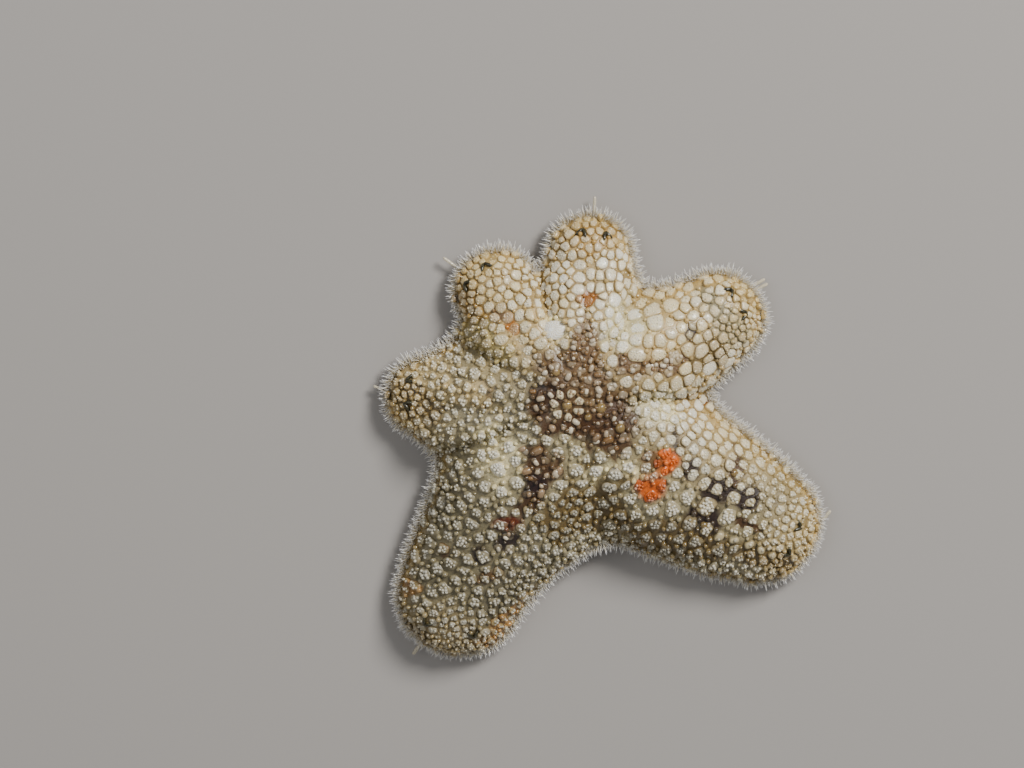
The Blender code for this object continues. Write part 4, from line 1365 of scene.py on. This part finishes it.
def add_sole_plates(tree, material):
    """Plates with short spines all over the oral side, from the furrow's rim to the edge."""
    draw = np.random.default_rng(SEED + 11)
    spots, taken = [], np.zeros((0, 3))
    for half in HALVES:
        grid, normals = under_grid(half)
        for n in range(under_column(SOLE_SHARES[0]), under_column(SOLE_SHARES[1]) - 1, -2):
            for i in range(0, len(grid), 3):
                at = grid[i, n]
                if nearest(taken, at) < SOLE_PITCH * 0.86 or np.linalg.norm(at[:2]) < MOUTH_ROOM:
                    continue
                taken = np.vstack((taken, at))
                tint = CREAM * draw.uniform(0.8, 1.0) + (STRAW - CREAM) * 0.3
                flat = under_flat(half, i, n / (grid.shape[1] - 1))
                size, kind = draw.uniform(0.85, 1.0), int(draw.integers(4))
                spots.append((at, normals[i, n], at * (1.0, 1.0, 0.0), size, tint, flat, kind, "oral"))
    stand(tree, "sole_plates", spots, sole_pieces(), material, variation=0.03, spin=0.6)


def add_furrow_spines(tree, material):
    """Fans of spines over each furrow, and pairs behind them."""
    draw = np.random.default_rng(SEED + 12)
    spots = []
    for half in HALVES:
        grid, _ = under_grid(half)
        for share, kinds, inward in FURROW_ROWS:
            line = grid[:, under_column(share)]
            for i in along_line(line, FURROW_SPINE_PITCH, MOUTH_ROOM + 0.05):
                toward = level_way(line[i], grid[i, -1])
                facing, along = toward * inward + DOWN, np.cross(toward, -DOWN)
                tint = CREAM * draw.uniform(0.85, 1.05)
                flat = under_flat(half, i, 1.0 - share * 0.8)
                kind = kinds[int(draw.integers(2))]
                spots.append((line[i] - 0.02 * DOWN, facing, along, 0.95, tint, flat, kind, "oral"))
    stand(tree, "furrow_spines", spots, furrow_spine_pieces(), material, variation=0.04, spin=0.12)


def add_tube_feet(tree, seen, material):
    """Two rows of tube feet in each furrow, and a few thin feelers that reach out past the tips."""
    draw = np.random.default_rng(SEED + 13)
    spots = []
    for half in HALVES:
        grid, _ = under_grid(half)
        line, ahead = grid[:, under_column(FOOT_SHARE)], np.append(half.along, 0.0)
        for i in along_line(line, FOOT_PITCH, FIRST_FOOT + 0.16 * (half.side > 0)):
            away = level_way(grid[i, -1], line[i])
            facing = unit(DOWN + away * draw.uniform(0.0, 0.3) + ahead * draw.uniform(-0.25, 0.3))
            length = min(1.05, (line[i][2] - 0.06) * 0.97)
            flat = under_flat(half, i, 0.95)
            spots.append((line[i], facing, ahead, length, CREAM, flat, int(draw.integers(2)), "oral"))
    for start, end, index in FEELERS:
        root, _ = seen.at(start)
        root[2] = 0.62
        along = np.array((end[0] - start[0], start[1] - end[1], 0.0)) * PIXEL
        length, flat = float(np.linalg.norm(along)), flat_place(HALVES[2 * index].cell, 1.9, 0.05, 1)
        spots.append((root, along, (0.0, 0.0, 1.0), length, WHITE, flat, 2, "oral"))
    stand(tree, "tube_feet", spots, foot_pieces(), material, variation=0.0, spin=0.4)


# Single pieces


def add_tip_pigment(seen, material):
    """A pair of small dark V marks at each arm's tip, lying in the groove between plates."""
    bm = bmesh.new()
    places = {}

    def place(section, angle, _):
        wide, share = section
        offset = (side * math.cos(angle) + up * math.sin(angle)) * wide
        vert = bm.verts.new(Vector(placed(point + way * share * STROKE + offset)))
        away = np.array(vert.co[:2]) / MM - CENTRE - at[:2]
        places[vert] = flat_place(nearest_half(at).cell, 1.8, 0.5) + 0.004 * away
        return vert

    for pixel, degrees in TIP_NOTCHES:
        at, normal = seen.at(pixel)
        up = Vector(normal)
        turns = (0.0, -STROKE_TURN, STROKE_TURN)
        ways = [Vector((*polar(degrees + 180.0 + turn), 0.0)) for turn in turns]
        back, *ways = [(way - up * way.dot(up)).normalized() for way in ways]
        point = Vector(at) + up * STROKE_LIFT - back * STROKE_START
        for way in ways:
            side = up.cross(way)
            add_rings(bm, ((0.0, 0.0), (0.085, 0.12), (0.095, 0.45), (0.07, 0.8), (0.0, 1.0)), 8, place)
    bmesh.ops.recalc_face_normals(bm, faces=bm.faces)
    piece = make_piece("tip_pigment", bm, places, material)
    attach(piece, "root")


def add_sieve_plate(seen, material):
    """The sieve plate: a low round cushion cut by fine wavy grooves that run out from its middle."""
    at, normal = seen.at(SIEVE_PIXEL)
    turn = Vector(normal).to_track_quat("Z", "Y").to_matrix()
    bm = bmesh.new()
    crown = bm.verts.layers.float.new("crown")
    flat = np.array([(*polar(30.0 * k, far * SIEVE_RADIUS), 1.0) for far in (0.45, 0.9) for k in range(12)])
    heights = np.array([seen.height(at, turn @ Vector((x, y, 0.0))) for x, y, _ in flat])
    slope = np.linalg.lstsq(flat, heights, rcond=None)[0]
    slope[2] += 0.02 + 0.55 * np.max(heights - flat @ slope)
    places = {}

    def place(section, angle, _):
        share = section[0]
        groove = 0.5 + 0.5 * math.cos(SIEVE_GROOVES * (angle + 0.16 * math.sin(11.0 * share)))
        depth = SIEVE_GROOVE_DEPTH * groove * min(1.0, 3.0 * share) * (share < 0.99)
        radius = SIEVE_RADIUS * share * (1.0 + 0.05 * math.sin(3.0 * angle + 1.0))
        x, y = math.cos(angle) * radius, math.sin(angle) * radius
        offset = turn @ Vector((x, y, 0.0))
        rise = float(np.dot((x, y, 1.0), slope)) + SIEVE_RISE * (1.0 - share**2.6) - depth
        offset += Vector(normal) * (seen.height(at, offset) - 0.12 if share == 1.0 else rise)
        vert = bm.verts.new(Vector(placed(at + np.array(offset))))
        vert[crown] = 1.0 - groove * min(1.0, 3.0 * share)
        places[vert] = 0.5 + MAP_PATCH / 2.0 * share * np.array([math.cos(angle), math.sin(angle)])
        return vert

    add_rings(bm, [(1.0 - ring / SIEVE_RINGS,) for ring in range(SIEVE_RINGS + 1)], SIEVE_SIDES, place)
    bmesh.ops.recalc_face_normals(bm, faces=bm.faces)
    piece = make_piece("sieve_cushion", bm, places, material)
    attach(piece, "root")
    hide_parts("sieve_plate")


def add_jaws(material):
    """Six pairs of oral plates that point at the mouth, each with spines, round a puckered mouth skin."""
    draw = random.Random(SEED + 6)
    bm = bmesh.new()
    crown = bm.verts.layers.float.new("crown")

    def place(section, angle, _):
        wide, share, level, thick = section
        middle = way * (JAW_START + (JAW_END - JAW_START) * share) + side * hand * (0.25 - 0.12 * share)
        offset = side * math.cos(angle) * wide + Vector((0.0, 0.0, level + math.sin(angle) * thick))
        vert = bm.verts.new(middle + offset)
        vert[crown] = 0.7
        return vert

    for degrees, _, _ in NOTCHES:
        way = Vector((*polar(degrees), 0.0))
        side = Vector((-way.y, way.x, 0.0))
        for hand in (-1.0, 1.0):
            add_rings(bm, JAW_SECTIONS, JAW_SIDES, place)
            for k in range(4):
                foot = way * (JAW_END + 0.04 + 0.12 * k) + side * hand * (0.09 + 0.02 * k)
                lean = -way * (0.9 - 0.25 * k) + side * hand * 0.15 * (1 + k) + Vector((0.0, 0.0, -0.9))
                turn = lean.to_track_quat("Z", "Y").to_matrix().to_4x4()
                stance = Matrix.Translation(foot + Vector((0.0, 0.0, 0.34 - 0.02 * k))) @ turn
                length = 0.30 - 0.03 * k + draw.uniform(-0.02, 0.02)
                end = ((0.0315, length * 0.9, 1.0), (0.0, length, 1.0))
                turn_piece(bm, ((0.045, -0.05, 0.5), (0.045, length * 0.6, 0.8)) + end, 7, stance)
    folds = (
        (1.25, -1.22, 0.0), (0.95, -1.0, 0.1), (0.6, -0.88, 0.2), (0.34, -0.80, 0.1), (0.24, -0.78, 0.3),
        (0.15, -0.86, 0.0), (0.09, -1.0, 0.0), (0.0, -1.05, 0.0),
    )
    pucker = [1.0 + 0.07 * math.cos(math.pi * k) for k in range(36)]
    turn_piece(bm, folds, 36, Matrix.Rotation(math.pi, 4, "X"), pucker)
    bmesh.ops.recalc_face_normals(bm, faces=bm.faces)
    places = {vert: (0.985 + 0.002 * vert.co.x, 0.985 + 0.002 * vert.co.y) for vert in bm.verts}
    for vert in bm.verts:
        vert.co = Vector(placed(np.array(vert.co)))
    piece = make_piece("mouth_and_jaws", bm, places, material)
    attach(piece, "root")
    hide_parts("jaws")


def remember_bounds(moment):
    low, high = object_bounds()
    return {moment: {"low": list(low), "high": list(high)}}


def main():
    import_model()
    sizes = remember_bounds("cad")
    camera = make_camera()
    make_floor()
    make_light()
    tree = standing_tree()

    skin = make_skin(skin_look())
    seen = Seen(skin, camera)
    paint = Paint(seen)
    tint_skin(skin, paint)
    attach(skin, "root")
    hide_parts("disc", *REGIONS)

    draw = np.random.default_rng(SEED)
    plates = spread_plates(paint, seen, draw)
    centres = np.array([plate.at for plate in plates])
    kinds = np.array([plate.kind for plate in plates])
    open_share = paint.openness(centres)
    dark = paint.strength(centres, DARK_MARKS) * (kinds == "plain")
    others = [seen.at(SIEVE_PIXEL)[0]] + [seen.at(notch[0])[0] for notch in TIP_NOTCHES]
    around = np.vstack((centres, others))
    widths = [plate.size for plate in plates] + [2.0 * SIEVE_RADIUS / PLATE_PITCH]
    widths = np.array(widths + [0.4] * len(TIP_NOTCHES))
    for plate, wide, deep in zip(plates, open_share, dark):
        groove = GROOVE * (1.0 + 0.9 * wide + 0.6 * deep)
        plate.shape(around, widths, groove, 0.28 * wide + 0.10 * deep)
    rises = PLATE_RISE * (1.0 - 0.15 * open_share - 0.3 * dark + 1.2 * (kinds == "bulb"))
    rises *= draw.uniform(0.8, 1.2, len(plates))
    tints = paint.plates(centres, draw)
    tints[kinds == "ring"] = 0.85 * CREAM + 0.15 * WHITE
    tints[kinds == "bulb"] = 0.5 * CREAM + 0.5 * OLIVE
    add_plates(paint, plates, rises, tints, plate_look())
    add_beads(tree, paint, plates, rises, tints, bead_look())
    add_gill_bulbs(tree, paint, seen, plates, gill_look())
    spines = spine_look()
    add_fringe(tree, paint, spines)
    add_tip_pigment(seen, pigment_look())
    add_sieve_plate(seen, chalk_look("sieve_plate", linear(252, 250, 240), linear(222, 212, 184)))
    add_sole_plates(tree, spines)
    add_furrow_spines(tree, spines)
    add_tube_feet(tree, seen, foot_look())
    add_jaws(chalk_look("jaws", linear(236, 224, 190), linear(120, 92, 60)))

    sizes.update(remember_bounds("visual"))


main()
